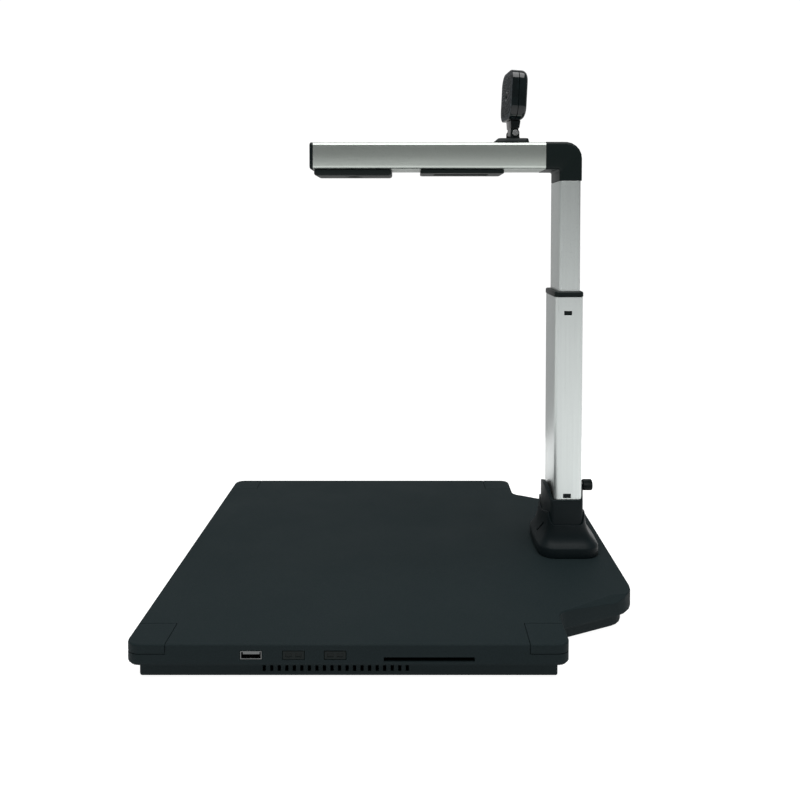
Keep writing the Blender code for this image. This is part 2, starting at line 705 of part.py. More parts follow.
def card_reader(mat):
    """Reader behind the wall whose slot lines up with the wall's opening."""
    front_y = -PLATE_HALF_Y + CASE_WALL + GAP
    half_x = CARD_WIDTH / 2 + CARD_BODY_SIDE
    body = block("card_reader", (CARD_X - half_x, front_y, CARD_Z + CARD_BODY_Z[0]),
                 (CARD_X + half_x, front_y + CARD_DEPTH + CARD_BODY_BACK,
                  CARD_Z + CARD_BODY_Z[1]), mat)
    slot_low = (CARD_X - CARD_WIDTH / 2, front_y - OVERCUT, CARD_Z - CARD_HEIGHT / 2)
    slot_high = (CARD_X + CARD_WIDTH / 2, front_y + CARD_DEPTH, CARD_Z + CARD_HEIGHT / 2)
    return cut(body, block("slot", slot_low, slot_high, mat))


def boards(mat):
    main = block("main_board", (BOARD_X[0], BOARD_Y[0], BOARD_Z[0]),
                 (BOARD_X[1], BOARD_Y[1], BOARD_Z[1]), mat)
    antenna = block("antenna_board", (ANTENNA_X[0], ANTENNA_Y[0], ANTENNA_Z[0]),
                    (ANTENNA_X[1], ANTENNA_Y[1], ANTENNA_Z[1]), mat)
    frame = ANTENNA_FRAME
    cut(antenna, block("coil_window",
                       (ANTENNA_X[0] + frame, ANTENNA_Y[0] + frame, ANTENNA_Z[0] - OVERCUT),
                       (ANTENNA_X[1] - frame, ANTENNA_Y[1] - frame, ANTENNA_Z[1] + OVERCUT),
                       mat))
    return [main, antenna]


def uplink_socket(mat):
    """Receptacle for the computer's lead in the tab's rear wall."""
    corners = rectangle(UPLINK_Y - UPLINK_HALF_Y, UPLINK_Y + UPLINK_HALF_Y,
                        UPLINK_Z - UPLINK_HALF_Z, UPLINK_Z + UPLINK_HALF_Z, UPLINK_R)
    front_x = TAB_REAR_X - PORT_SETBACK
    back_x = front_x - UPLINK_DEPTH
    shell = stack("uplink_socket", [in_yz(rounded_outline(corners), front_x),
                                    in_yz(rounded_outline(corners), back_x)], mat)
    inner = [in_yz(rounded_outline(corners, UPLINK_WALL), front_x + OVERCUT),
             in_yz(rounded_outline(corners, UPLINK_WALL), back_x + OVERCUT)]
    cut(shell, stack("cavity", inner, mat))
    half_y, half_z = UPLINK_TONGUE_HALF
    tongue = block("tongue", (back_x + OVERCUT / 2, UPLINK_Y - half_y, UPLINK_Z - half_z),
                   (front_x - OVERCUT, UPLINK_Y + half_y, UPLINK_Z + half_z), mat)
    return add(shell, tongue)


# --- Column foot --------------------------------------------------------------------------
def bowed_outline(front_x, rear_x, half_y, radius, bow, inset=0.0):
    """Rounded rectangle whose two X-facing sides bow outwards."""
    corners = rectangle(front_x, rear_x, -half_y, half_y, radius)
    raw = rounded_outline(corners, inset)
    per_corner = ARC_STEPS + 1
    bow_steps = 6
    points = []
    for corner in range(4):
        arc = raw[corner * per_corner:(corner + 1) * per_corner]
        points += arc
        if corner in (1, 3):
            start = arc[-1]
            end = raw[((corner + 1) % 4) * per_corner]
            side = 1 if corner == 1 else -1
            for step in range(1, bow_steps):
                t = step / bow_steps
                point = start.lerp(end, t)
                point.x += side * bow * (1 - (2 * t - 1) ** 2)
                points.append(point)
    return points


def border_height(point, half_y, radius):
    """Height of the boot's top border: lowest at its sides, V-shaped at its front and rear."""
    reach = half_y - radius
    across = abs(point.y)
    if across <= reach:
        return BOOT_MIDDLE_TOP_Z + (BOOT_CORNER_TOP_Z - BOOT_MIDDLE_TOP_Z) * across / reach
    share = min(1.0, (across - reach) / radius)
    return BOOT_CORNER_TOP_Z + (BOOT_SIDE_TOP_Z - BOOT_CORNER_TOP_Z) * share


def bell(t):
    """Share of the way in at a share of the way up the boot's flare."""
    straight = 0.15
    return straight * t + (1 - straight) * (1 - (1 - t) ** 3)


def boot_foot(mat):
    """Flared foot: rim band, bell-shaped flanks, higher on its front and rear sides."""
    ease_in, ease_down = BOOT_RIM_EASE
    plan = (BOOT_FRONT_X, BOOT_REAR_X, BOOT_HALF_Y, BOOT_CORNER_R, BOOT_BOW)
    base = bowed_outline(*plan)
    rim = bowed_outline(*plan, ease_in)
    inside = bowed_outline(*plan, BOOT_WALL)
    grown = GAP + BOOT_LIP
    lip = bowed_outline(COLLAR_FRONT_X - grown, COLLAR_REAR_X + grown, COLLAR_HALF_Y + grown,
                        COLLAR_R + grown, COLLAR_BOW)
    hole = bowed_outline(COLLAR_FRONT_X - GAP, COLLAR_REAR_X + GAP, COLLAR_HALF_Y + GAP,
                         COLLAR_R + GAP, COLLAR_BOW)
    bottom_z = BASE_TOP_Z + GAP
    tops = [border_height(point, COLLAR_HALF_Y + grown, COLLAR_R + grown) for point in lip]

    def blend(outer, upper, share, height):
        ring = []
        for a, b, top in zip(outer, upper, tops):
            p = a.lerp(b, share)
            ring.append(Vector((p.x, p.y, BOOT_RIM_Z + (top - BOOT_RIM_Z) * height)))
        return ring

    steps = 7
    skin_drop = 0.08                # share of the height between outer and inner skin
    rings = [in_xy(base, bottom_z), in_xy(base, BOOT_RIM_Z - ease_down)]
    rings += [blend(rim, lip, bell(k / steps), k / steps) for k in range(steps + 1)]
    rings.append(blend(rim, hole, 1.0, 1.0))
    rings += [blend(inside, hole, bell(k / steps), k / steps - skin_drop)
              for k in range(steps - 1, 0, -1)]
    rings.append(in_xy(inside, BOOT_RIM_Z - 2 * ease_down))
    rings.append(in_xy(inside, bottom_z))
    foot = stack("boot_foot", rings, mat, closed=True)
    slots = []
    for x in (BOOT_FRONT_X + BOOT_SLOT_INSET, BOOT_REAR_X - BOOT_SLOT_INSET):
        slot = block("slot", [-half for half in BOOT_SLOT_HALF], BOOT_SLOT_HALF, mat)
        place = Matrix.Translation((x, BOOT_SLOT_Y, BOOT_SLOT_Z))
        slot.data.transform(place @ Matrix.Rotation(-math.pi / 4, 4, "X"))
        slots.append(slot)
    return cut(foot, *slots)


def tongue_height(point):
    """Top of the collar: an arch over its front and rear faces, level along its sides."""
    crown = FRONT_TONGUE_Z if point.x < COLUMN_X else REAR_TONGUE_Z
    across = min(1.0, abs(point.y) / (COLLAR_HALF_Y - COLLAR_R))
    return crown - (crown - COLLAR_SIDE_TOP_Z) * across ** TONGUE_POWER


def boot_collar(mat):
    """Sleeve around the column with a raised rounded tongue on its front and rear."""
    plan = (COLLAR_FRONT_X, COLLAR_REAR_X, COLLAR_HALF_Y, COLLAR_R, COLLAR_BOW)
    ease_in, ease_down = COLLAR_EASE
    outer = bowed_outline(*plan)
    eased = bowed_outline(*plan, ease_in)
    half_x = OUTER_X / 2 + GAP
    hole = bowed_outline(COLUMN_X - half_x, COLUMN_X + half_x, OUTER_Y / 2 + GAP,
                         OUTER_R + GAP, COLLAR_INNER_BOW)
    tops = [tongue_height(point) for point in outer]
    rings = [in_xy(outer, COLLAR_BOTTOM_Z),
             [Vector((p.x, p.y, z - ease_down)) for p, z in zip(outer, tops)],
             [Vector((p.x, p.y, z)) for p, z in zip(eased, tops)],
             [Vector((p.x, p.y, z)) for p, z in zip(hole, tops)],
             in_xy(hole, COLLAR_BOTTOM_Z)]
    collar = stack("boot_collar", rings, mat, closed=True)
    return cut(collar, screw_passage(mat))


def screw_passage(mat):
    """Cutter for the thumbscrew's hole in the rear walls of the pieces around the column."""
    start_x = COLUMN_X + SPIGOT_SIZE[0] / 4
    return cylinder("screw_hole", (start_x, 0, SCREW_Z), (1, 0, 0), COLLAR_REAR_X
                    + COLLAR_BOW + OVERCUT - start_x, SHANK_R + GAP, mat)


def column_spigot(mat):
    """Flanged hollow post that the column is pushed onto, with a snap tab."""
    low_z, high_z = FLANGE_Z
    flange = stack("column_spigot",
                   [in_xy(box_outline(COLUMN_X, *FLANGE_SIZE, FLANGE_R), z) for z in FLANGE_Z],
                   mat)
    post = stack("post", [in_xy(box_outline(COLUMN_X, *SPIGOT_SIZE, SPIGOT_R), z)
                          for z in (low_z + OVERCUT, SPIGOT_TOP_Z)], mat)
    add(flange, post)
    bore = stack("bore", [in_xy(box_outline(COLUMN_X, *SPIGOT_SIZE, SPIGOT_R, SPIGOT_WALL), z)
                          for z in (high_z - SPIGOT_FLOOR, SPIGOT_TOP_Z + OVERCUT)], mat)
    combine(flange, bore, "DIFFERENCE")
    half_x, half_y = CABLE_OPENING_HALF
    combine(flange, block("throat", (COLUMN_X - half_x, -half_y, low_z - OVERCUT),
                          (COLUMN_X + half_x, half_y, high_z), mat), "DIFFERENCE")
    holes = [cylinder("hole", (x, y, low_z - OVERCUT), (0, 0, 1),
                      COLUMN_SCREW_TOP_Z + GAP - low_z + OVERCUT,
                      COLUMN_SCREW_R + GAP, mat, HOLE_SEGMENTS) for x, y in column_screw_places()]
    cut(flange, *holes, screw_passage(mat))
    return add(flange, window_tab(LOWER_WINDOW_Z, SPIGOT_SIZE[1] / 2, mat))


def window_tab(z, inside_y, mat):
    """Snap tab that stands in a window of the outer tube's -Y wall."""
    half_x = WINDOW_WIDTH / 2 - GAP
    half_z = WINDOW_HEIGHT / 2 - GAP
    return block("tab", (WINDOW_X - half_x, -OUTER_Y / 2 + GAP, z - half_z),
                 (WINDOW_X + half_x, -inside_y + 2 * GAP, z + half_z), mat)


def column_screws(mat):
    low_z, high_z = COLUMN_SCREW_HEAD_Z
    profile = [(COLUMN_SCREW_HEAD_R - GAP, low_z), (COLUMN_SCREW_HEAD_R, low_z + GAP),
               (COLUMN_SCREW_HEAD_R, high_z), (COLUMN_SCREW_R, high_z),
               (COLUMN_SCREW_R, COLUMN_SCREW_TOP_Z)]
    return [turned(f"column_screw_{i + 1}", profile, (x, y, 0), (0, 0, 1), mat, HOLE_SEGMENTS)
            for i, (x, y) in enumerate(column_screw_places())]


def anchor_plate(mat):
    half_x, half_y = PLATE_HALF_SIZE
    plate = block("anchor_plate", (COLUMN_X - half_x, -half_y, PLATE_Z[0]),
                  (COLUMN_X + half_x, half_y, PLATE_Z[1]), mat)
    return cut(plate, *column_passages(PLATE_Z[0] - OVERCUT, PLATE_Z[1] + OVERCUT, mat))


def thumbscrew(satin, steel):
    """Shank through the column's rear wall and the knurled knob on its end."""
    tip = 0.6 * MM
    shank = turned("thumbscrew_shank",
                   [(SHANK_R - tip, 0), (SHANK_R, tip), (SHANK_R, SHANK_X[1] - SHANK_X[0])],
                   (SHANK_X[0], 0, SCREW_Z), (1, 0, 0), steel)
    ridged_r = KNOB_R - 0.1 * MM
    neck_r = KNOB_R - 0.9 * MM
    ease = 0.7 * MM
    groove = (3.4 * MM, 2.9 * MM, 2.4 * MM, 1.9 * MM)

    def knurl(radius, angle):
        if radius < ridged_r:
            return radius
        return radius - KNOB_LOBE_DEPTH * (0.5 - 0.5 * math.cos(KNOB_LOBES * angle))

    depth = KNOB_X[1] - KNOB_X[0]
    bore_depth = SHANK_X[1] - KNOB_X[0] + GAP
    bore_r = SHANK_R + GAP
    profile = [
        (bore_r, bore_depth), (bore_r, 0), (KNOB_R - ease, 0), (KNOB_R, ease),
        (KNOB_R, depth - groove[0]), (neck_r, depth - groove[1]), (neck_r, depth - groove[2]),
        (ridged_r - GAP, depth - groove[3]), (ridged_r - ease, depth - ease),
        (neck_r - ease, depth),
    ]
    knob = turned("thumbscrew_knob", profile, (KNOB_X[0], 0, SCREW_Z), (1, 0, 0), satin,
                  KNOB_LOBES * 2, knurl)
    return shank, knob


# --- Column -------------------------------------------------------------------------------
def tube_rings(centre_x, size_x, size_y, radius, wall, z_low, z_high):
    outer = box_outline(centre_x, size_x, size_y, radius)
    inner = box_outline(centre_x, size_x, size_y, radius, wall)
    return [in_xy(outer, z_low), in_xy(outer, z_high), in_xy(inner, z_high), in_xy(inner, z_low)]


def outer_tube(mat):
    tube = stack("outer_tube", tube_rings(COLUMN_X, OUTER_X, OUTER_Y, OUTER_R, TUBE_WALL,
                                          *OUTER_Z), mat, closed=True)
    wall_y = -OUTER_Y / 2
    tools = [screw_passage(mat)]
    for z in (LOWER_WINDOW_Z, UPPER_WINDOW_Z):
        low = (WINDOW_X - WINDOW_WIDTH / 2, wall_y - OVERCUT, z - WINDOW_HEIGHT / 2)
        high = (WINDOW_X + WINDOW_WIDTH / 2, wall_y + TUBE_WALL + OVERCUT, z + WINDOW_HEIGHT / 2)
        tools.append(block("window", low, high, mat))
    return cut(tube, *tools)


def ferrule(mat):
    """Guide bush in the mouth of the outer tube, with a rim and a snap tab."""
    ease_in, ease_down = FERRULE_EASE
    rim = (OUTER_X + 2 * FERRULE_PROUD, OUTER_Y + 2 * FERRULE_PROUD, OUTER_R + FERRULE_PROUD)
    hole = box_outline(INNER_CENTRE_X, INNER_X + 2 * GAP, INNER_Y + 2 * GAP, INNER_R + GAP)
    wide = box_outline(COLUMN_X, *rim)
    eased = box_outline(COLUMN_X, *rim, ease_in)
    sleeve = box_outline(COLUMN_X, OUTER_X, OUTER_Y, OUTER_R, TUBE_WALL + GAP)
    rim_z = OUTER_Z[1] + GAP
    rings = [in_xy(sleeve, SLEEVE_BOTTOM_Z), in_xy(sleeve, rim_z), in_xy(wide, rim_z),
             in_xy(wide, FERRULE_TOP_Z - ease_down), in_xy(eased, FERRULE_TOP_Z),
             in_xy(hole, FERRULE_TOP_Z), in_xy(hole, SLEEVE_BOTTOM_Z)]
    bush = stack("ferrule", rings, mat, closed=True)
    return add(bush, window_tab(UPPER_WINDOW_Z, OUTER_Y / 2 - TUBE_WALL - GAP, mat))


def inner_tube(mat):
    return stack("inner_tube", tube_rings(INNER_CENTRE_X, INNER_X, INNER_Y, INNER_R, TUBE_WALL,
                                          *INNER_Z), mat, closed=True)


def slide_shoe(mat):
    """Bush under the inner tube that runs in the outer tube and stops on the ferrule."""
    wide = box_outline(COLUMN_X, OUTER_X, OUTER_Y, OUTER_R, TUBE_WALL + GAP)
    plug = box_outline(INNER_CENTRE_X, INNER_X, INNER_Y, INNER_R, TUBE_WALL + GAP)
    hole = box_outline(INNER_CENTRE_X, *SHOE_BORE, SHOE_BORE_R)
    seat_z = INNER_Z[0] - GAP
    low_z = seat_z - SHOE_HEIGHT
    high_z = seat_z + SHOE_PLUG
    rings = [in_xy(wide, low_z), in_xy(wide, seat_z), in_xy(plug, seat_z), in_xy(plug, high_z),
             in_xy(hole, high_z), in_xy(hole, low_z)]
    return stack("slide_shoe", rings, mat, closed=True)


def column_cable(mat):
    """Envelope of the coiled lead that joins the base to the arm and shortens with the slide."""
    low, high = COIL_Z
    profile = ((COIL_R, low), (COIL_R, high), (COIL_BORE_R, high), (COIL_BORE_R, low))
    rings = []
    for radius, z in profile:
        angles = [2 * math.pi * step / ROUND_SEGMENTS for step in range(ROUND_SEGMENTS)]
        rings.append([Vector((COLUMN_X + radius * math.cos(a), radius * math.sin(a), z))
                      for a in angles])
    return stack("column_cable", rings, mat, closed=True)


# --- Elbow and arm ------------------------------------------------------------------------
def elbow_reach(angle):
    """Distance from the bend's pivot to the elbow's outer skin at an angle."""
    pivot_x = ELBOW_INNER_X - ELBOW_INNER_R
    pivot_z = ELBOW_UNDER_Z - ELBOW_INNER_R
    c = math.cos(angle)
    s = math.sin(angle)
    arc_x = ELBOW_REAR_X - ELBOW_OUTER_R - pivot_x
    arc_z = ELBOW_TOP_Z - ELBOW_OUTER_R - pivot_z
    wall = (ELBOW_REAR_X - pivot_x) / max(c, 1e-9)
    if wall * s <= arc_z:
        return wall
    roof = (ELBOW_TOP_Z - pivot_z) / max(s, 1e-9)
    if roof * c <= arc_x:
        return roof
    along = arc_x * c + arc_z * s
    return along + math.sqrt(ELBOW_OUTER_R ** 2 - (arc_x ** 2 + arc_z ** 2 - along ** 2))


def elbow_ring(angle):
    """Rounded section of the elbow on a plane through the bend's pivot."""
    pivot = Vector((ELBOW_INNER_X - ELBOW_INNER_R, 0, ELBOW_UNDER_Z - ELBOW_INNER_R))
    corners = rectangle(ELBOW_INNER_R, elbow_reach(angle), -ARM_HALF_Y, ARM_HALF_Y, INNER_R)
    across = Vector((math.cos(angle), 0, math.sin(angle)))
    return [pivot + across * p.x + Vector((0, p.y, 0)) for p in rounded_outline(corners)]


def elbow(mat):
    """Moulded bend with a plug down into the inner tube and one into the arm."""
    foot = [p.copy() for p in elbow_ring(0)]
    for p in foot:
        p.z = ELBOW_BOTTOM_Z
    nose = [p.copy() for p in elbow_ring(math.pi / 2)]
    for p in nose:
        p.x = ELBOW_FRONT_X
    bend = [elbow_ring(math.pi / 2 * k / ELBOW_STEPS) for k in range(ELBOW_STEPS + 1)]
    body = stack("elbow", [foot, *bend, nose], mat)
    down_plug = stack("plug", [in_xy(box_outline(INNER_CENTRE_X, INNER_X, INNER_Y, INNER_R,
                                                 TUBE_WALL + GAP), z)
                               for z in (ELBOW_BOTTOM_Z - ELBOW_DOWN_PLUG,
                                         ELBOW_BOTTOM_Z + PLUG_OVERLAP)], mat)
    arm_corners = rectangle(-ARM_HALF_Y, ARM_HALF_Y, ARM_Z[0], ARM_Z[1], ARM_R)
    arm_plug = stack("plug", [in_yz(rounded_outline(arm_corners, ARM_WALL + GAP), x)
                              for x in (ELBOW_FRONT_X - ELBOW_ARM_PLUG,
                                        ELBOW_FRONT_X + PLUG_OVERLAP)], mat)
    add(body, down_plug, arm_plug)
    half, half_y = ELBOW_CHANNEL_HALF
    middle_z = sum(ARM_Z) / 2
    corner = (INNER_CENTRE_X + half, half_y, middle_z + half)
    upright = block("channel", (INNER_CENTRE_X - half, -half_y,
                                ELBOW_BOTTOM_Z - ELBOW_DOWN_PLUG - OVERCUT), corner, mat)
    level = block("channel", (ELBOW_FRONT_X - ELBOW_ARM_PLUG - OVERCUT, -half_y,
                              middle_z - half), corner, mat)
    combine(body, upright, "DIFFERENCE")
    return combine(body, level, "DIFFERENCE")


def arm_tube(mat):
    corners = rectangle(-ARM_HALF_Y, ARM_HALF_Y, ARM_Z[0], ARM_Z[1], ARM_R)
    outer = rounded_outline(corners)
    inner = rounded_outline(corners, ARM_WALL)
    rear_x = ELBOW_FRONT_X - GAP
    rings = [in_yz(outer, ARM_FRONT_X), in_yz(outer, rear_x), in_yz(inner, rear_x),
             in_yz(inner, ARM_FRONT_X)]
    tube = stack("arm_tube", rings, mat, closed=True)
    z_low = ARM_Z[0] - OVERCUT
    z_high = ARM_Z[0] + ARM_WALL + OVERCUT
    light_x = sum(LIGHT_X) / 2
    openings = [block("opening", (x - half, -half, z_low), (x + half, half, z_high), mat)
                for x, half in ((LENS_X, CAMERA_OPENING_HALF), (light_x, LIGHT_OPENING_HALF))]
    return cut(tube, *openings)


def arm_end_cap(mat):
    corners = rectangle(-ARM_HALF_Y, ARM_HALF_Y, ARM_Z[0], ARM_Z[1], ARM_R)
    ease = 1.2 * MM
    face_x = ARM_FRONT_X - GAP
    plug_inset = ARM_WALL + GAP
    levels = [(ease, END_CAP_X), (ease / 4, END_CAP_X + ease / 2), (0, END_CAP_X + ease),
              (0, face_x), (plug_inset, face_x), (plug_inset, face_x + END_CAP_PLUG)]
    return stack("arm_end_cap", [in_yz(rounded_outline(corners, i), x) for i, x in levels], mat)


def camera_housing(mat):
    """Tray below the arm's front end that frames the main lens."""
    corners = rectangle(*CAMERA_X, -MODULE_HALF_Y, MODULE_HALF_Y, MODULE_R)
    ease = 1.8 * MM
    levels = [(ease, CAMERA_BOTTOM_Z), (ease / 3, CAMERA_BOTTOM_Z + ease / 3),
              (0, CAMERA_BOTTOM_Z + ease), (0, MODULE_TOP_Z), (MODULE_WALL, MODULE_TOP_Z),
              (MODULE_WALL, CAMERA_BOTTOM_Z + MODULE_WALL)]
    tray = stack("camera_housing", [in_xy(rounded_outline(corners, i), z) for i, z in levels],
                 mat)
    return cut(tray, cylinder("lens_hole", (LENS_X, 0, CAMERA_BOTTOM_Z - OVERCUT), (0, 0, 1),
                              MODULE_WALL + 2 * OVERCUT, LENS_R + GAP, mat, LENS_SEGMENTS))


def camera_module(satin, glass, board):
    """Camera board in the arm with the lens barrel and glass that look down."""
    board_z = ARM_Z[0] + ARM_WALL + OVERCUT
    pcb = block("camera_board", (CAMERA_BOARD_X[0], -CAMERA_BOARD_HALF_Y, board_z),
                (CAMERA_BOARD_X[1], CAMERA_BOARD_HALF_Y, board_z + BOARD_THICKNESS), board)
    barrel_z = CAMERA_BOTTOM_Z + LENS_SETBACK
    depth = board_z - GAP - barrel_z
    flare = 0.9 * MM
    bore_depth = 2.2 * MM
    barrel = turned("lens_barrel",
                    [(LENS_MOUTH_R, bore_depth), (LENS_MOUTH_R, flare),
                     (LENS_MOUTH_R + flare, 0), (LENS_R, 0), (LENS_R, depth)],
                    (LENS_X, 0, barrel_z), (0, 0, 1), satin, LENS_SEGMENTS)
    glass_r = LENS_MOUTH_R - GAP
    dome = 0.8 * MM
    lens = turned("lens_glass",
                  [(glass_r / 3, 0), (glass_r * 2 / 3, dome / 3), (glass_r, dome),
                   (glass_r, dome * 3 / 2)],
                  (LENS_X, 0, barrel_z + flare), (0, 0, 1), glass, LENS_SEGMENTS)
    return [pcb, barrel, lens]


def light_bar(satin, board, diffuser):
    """Lamp below the arm: housing with a long aperture, light board and frosted strip."""
    corners = rectangle(*LIGHT_X, -MODULE_HALF_Y, MODULE_HALF_Y, MODULE_R)
    ease = 0.5 * MM
    skin_z = LIGHT_BOTTOM_Z + LIGHT_SKIN
    levels = [(MODULE_WALL, MODULE_TOP_Z), (MODULE_WALL, skin_z),
              (LIGHT_APERTURE_INSET, skin_z), (LIGHT_APERTURE_INSET, LIGHT_BOTTOM_Z),
              (ease, LIGHT_BOTTOM_Z), (0, LIGHT_BOTTOM_Z + ease), (0, MODULE_TOP_Z)]
    housing = stack("light_housing",
                    [in_xy(rounded_outline(corners, i), z) for i, z in levels], satin,
                    closed=True)
    inside = rounded_outline(corners, MODULE_WALL + GAP)
    strip_z = skin_z + GAP
    strip = stack("light_diffuser", [in_xy(inside, z) for z in (strip_z, strip_z + LIGHT_STRIP)],
                  diffuser)
    pcb = stack("light_board", [in_xy(inside, z)
                                for z in (strip_z + LIGHT_STRIP + GAP, MODULE_TOP_Z)], board)
    return [housing, pcb, strip]


def arm_cable(mat):
    """Lead from the slide shoe up the inner tube and along the arm to the camera board."""
    middle_z = sum(ARM_Z) / 2
    bend = ARM_CABLE_BEND
    bend_steps = 6
    route = [Vector((INNER_CENTRE_X, 0, INNER_Z[0] + SHOE_PLUG + OVERCUT))]
    for step in range(bend_steps + 1):
        angle = math.pi / 2 * step / bend_steps
        route.append(Vector((INNER_CENTRE_X - bend * (1 - math.cos(angle)), 0,
                             middle_z - bend + bend * math.sin(angle))))
    route.append(Vector((CAMERA_BOARD_X[1] + bend / 2, 0, middle_z)))
    curve = bpy.data.curves.new("arm_cable", "CURVE")
    curve.dimensions = "3D"
    curve.bevel_depth = ARM_CABLE_R
    curve.bevel_resolution = 2
    curve.use_fill_caps = True
    spline = curve.splines.new("POLY")
    spline.points.add(len(route) - 1)
    for point, place in zip(spline.points, route):
        point.co = (*place, 1.0)
    curve.materials.append(mat)
    obj = bpy.data.objects.new("arm_cable", curve)
    bpy.context.scene.collection.objects.link(obj)
    return obj


# --- Webcam -------------------------------------------------------------------------------
def webcam_foot(mat):
    """Wedge-shaped foot on the arm that the fork swivels on."""
    front_x, rear_x = WEBCAM_FOOT_X
    low_z, top_z = WEBCAM_FOOT_Z
    half = WEBCAM_FOOT_HALF_Y
    skirt_height = 0.9 * MM
    front_slope = 3.4 * MM
    rear_slope = 0.6 * MM
    side_slope = 1.4 * MM
    ease = 0.5 * MM
    skirt = rounded_outline(rectangle(front_x, rear_x, -half, half, 4 * MM))
    crown = rectangle(front_x + front_slope, rear_x - rear_slope, side_slope - half,
                      half - side_slope, 3 * MM)
    rings = [in_xy(skirt, low_z), in_xy(skirt, low_z + skirt_height),
             in_xy(rounded_outline(crown), top_z - ease),
             in_xy(rounded_outline(crown, ease), top_z)]
    return stack("webcam_foot", rings, mat)


def hinge_hole(mat):
    """Cutter along the tilt axis for the hinge screw."""
    reach = CHEEK_Y[1] + HINGE_NUT_HEIGHT + OVERCUT
    return cylinder("hinge_hole", (0, -reach, 0), (0, 1, 0), 2 * reach, HINGE_SCREW_R + GAP, mat,
                    HOLE_SEGMENTS)


def webcam_bracket(mat):
    """Fork that swivels on the foot: base plate and two cheeks beside the knuckle."""
    base_z = WEBCAM_FOOT_Z[1] + GAP - PIVOT.z
    half_x = CHEEK_R + FORK_LEDGE
    half_y = CHEEK_Y[1] + FORK_LEDGE
    base = rounded_outline(rectangle(-half_x, half_x, -half_y, half_y, NECK_R))
    bracket = stack("webcam_bracket", [in_xy(base, z)
                                       for z in (base_z, base_z + FORK_BASE_THICKNESS)], mat)
    arch_steps = 14
    root_z = base_z + FORK_BASE_THICKNESS / 2
    arch = [Vector((-CHEEK_R, root_z)), Vector((CHEEK_R, root_z))]
    for step in range(arch_steps + 1):
        angle = math.pi * step / arch_steps
        arch.append(Vector((CHEEK_R * math.cos(angle), CHEEK_R * math.sin(angle))))
    for side in (-1, 1):
        cheek = stack("cheek", [[Vector((p.x, side * y, p.y)) for p in arch] for y in CHEEK_Y],
                      mat)
        add(bracket, cheek)
    return cut(bracket, hinge_hole(mat))


def hinge_screw(mat):
    """Slotted screw through the fork, its head on the -Y side."""
    seat_y = CHEEK_Y[1] + GAP
    height = HINGE_HEAD_HEIGHT
    ease = 0.4 * MM
    screw = turned("hinge_screw",
                   [(HINGE_HEAD_R - ease, 0), (HINGE_HEAD_R, ease), (HINGE_HEAD_R, height),
                    (HINGE_SCREW_R, height),
                    (HINGE_SCREW_R, height + seat_y * 2 + HINGE_NUT_HEIGHT + GAP)],
                   (0, -seat_y - height, 0), (0, 1, 0), mat)
    reach = HINGE_HEAD_R + OVERCUT
    slot = block("slot", (-reach, -seat_y - height - OVERCUT, -ease),
                 (reach, -seat_y - height / 2, ease), mat)
    slot.data.transform(Matrix.Rotation(math.radians(35), 4, "Y"))
    return cut(screw, slot)


def hinge_nut(mat):
    """Hexagon nut on the far end of the hinge screw."""
    start_y = CHEEK_Y[1] + GAP
    rings = []
    for y in (start_y, start_y + HINGE_NUT_HEIGHT):
        rings.append([Vector((HINGE_NUT_R * math.cos(math.pi / 3 * k), y,
                              HINGE_NUT_R * math.sin(math.pi / 3 * k))) for k in range(6)])
    return cut(stack("hinge_nut", rings, mat), hinge_hole(mat))


def head_ring(x, inset):
    corners = rectangle(-HEAD_HALF_Y, HEAD_HALF_Y, *HEAD_Z, HEAD_CORNER_R)
    return in_yz(rounded_outline(corners, inset, HEAD_ARC_STEPS), x)


def front_shell(mat):
    """Front half of the webcam head with the lens hole in its flat face."""
    edge = 0.5 * MM
    split_x = HEAD_SPLIT_X - GAP / 2
    shell = stack("webcam_front_shell",
                  [head_ring(HEAD_FRONT_X, edge), head_ring(HEAD_FRONT_X + edge, 0),
                   head_ring(split_x, 0), head_ring(split_x, HEAD_WALL),
                   head_ring(HEAD_FRONT_X + HEAD_WALL, HEAD_WALL)], mat)
    return cut(shell, cylinder("lens_hole", (HEAD_FRONT_X - OVERCUT, 0, sum(HEAD_Z) / 2),
                               (1, 0, 0), HEAD_WALL + 2 * OVERCUT, WEBCAM_LENS_R + GAP, mat,
                               LENS_SEGMENTS))


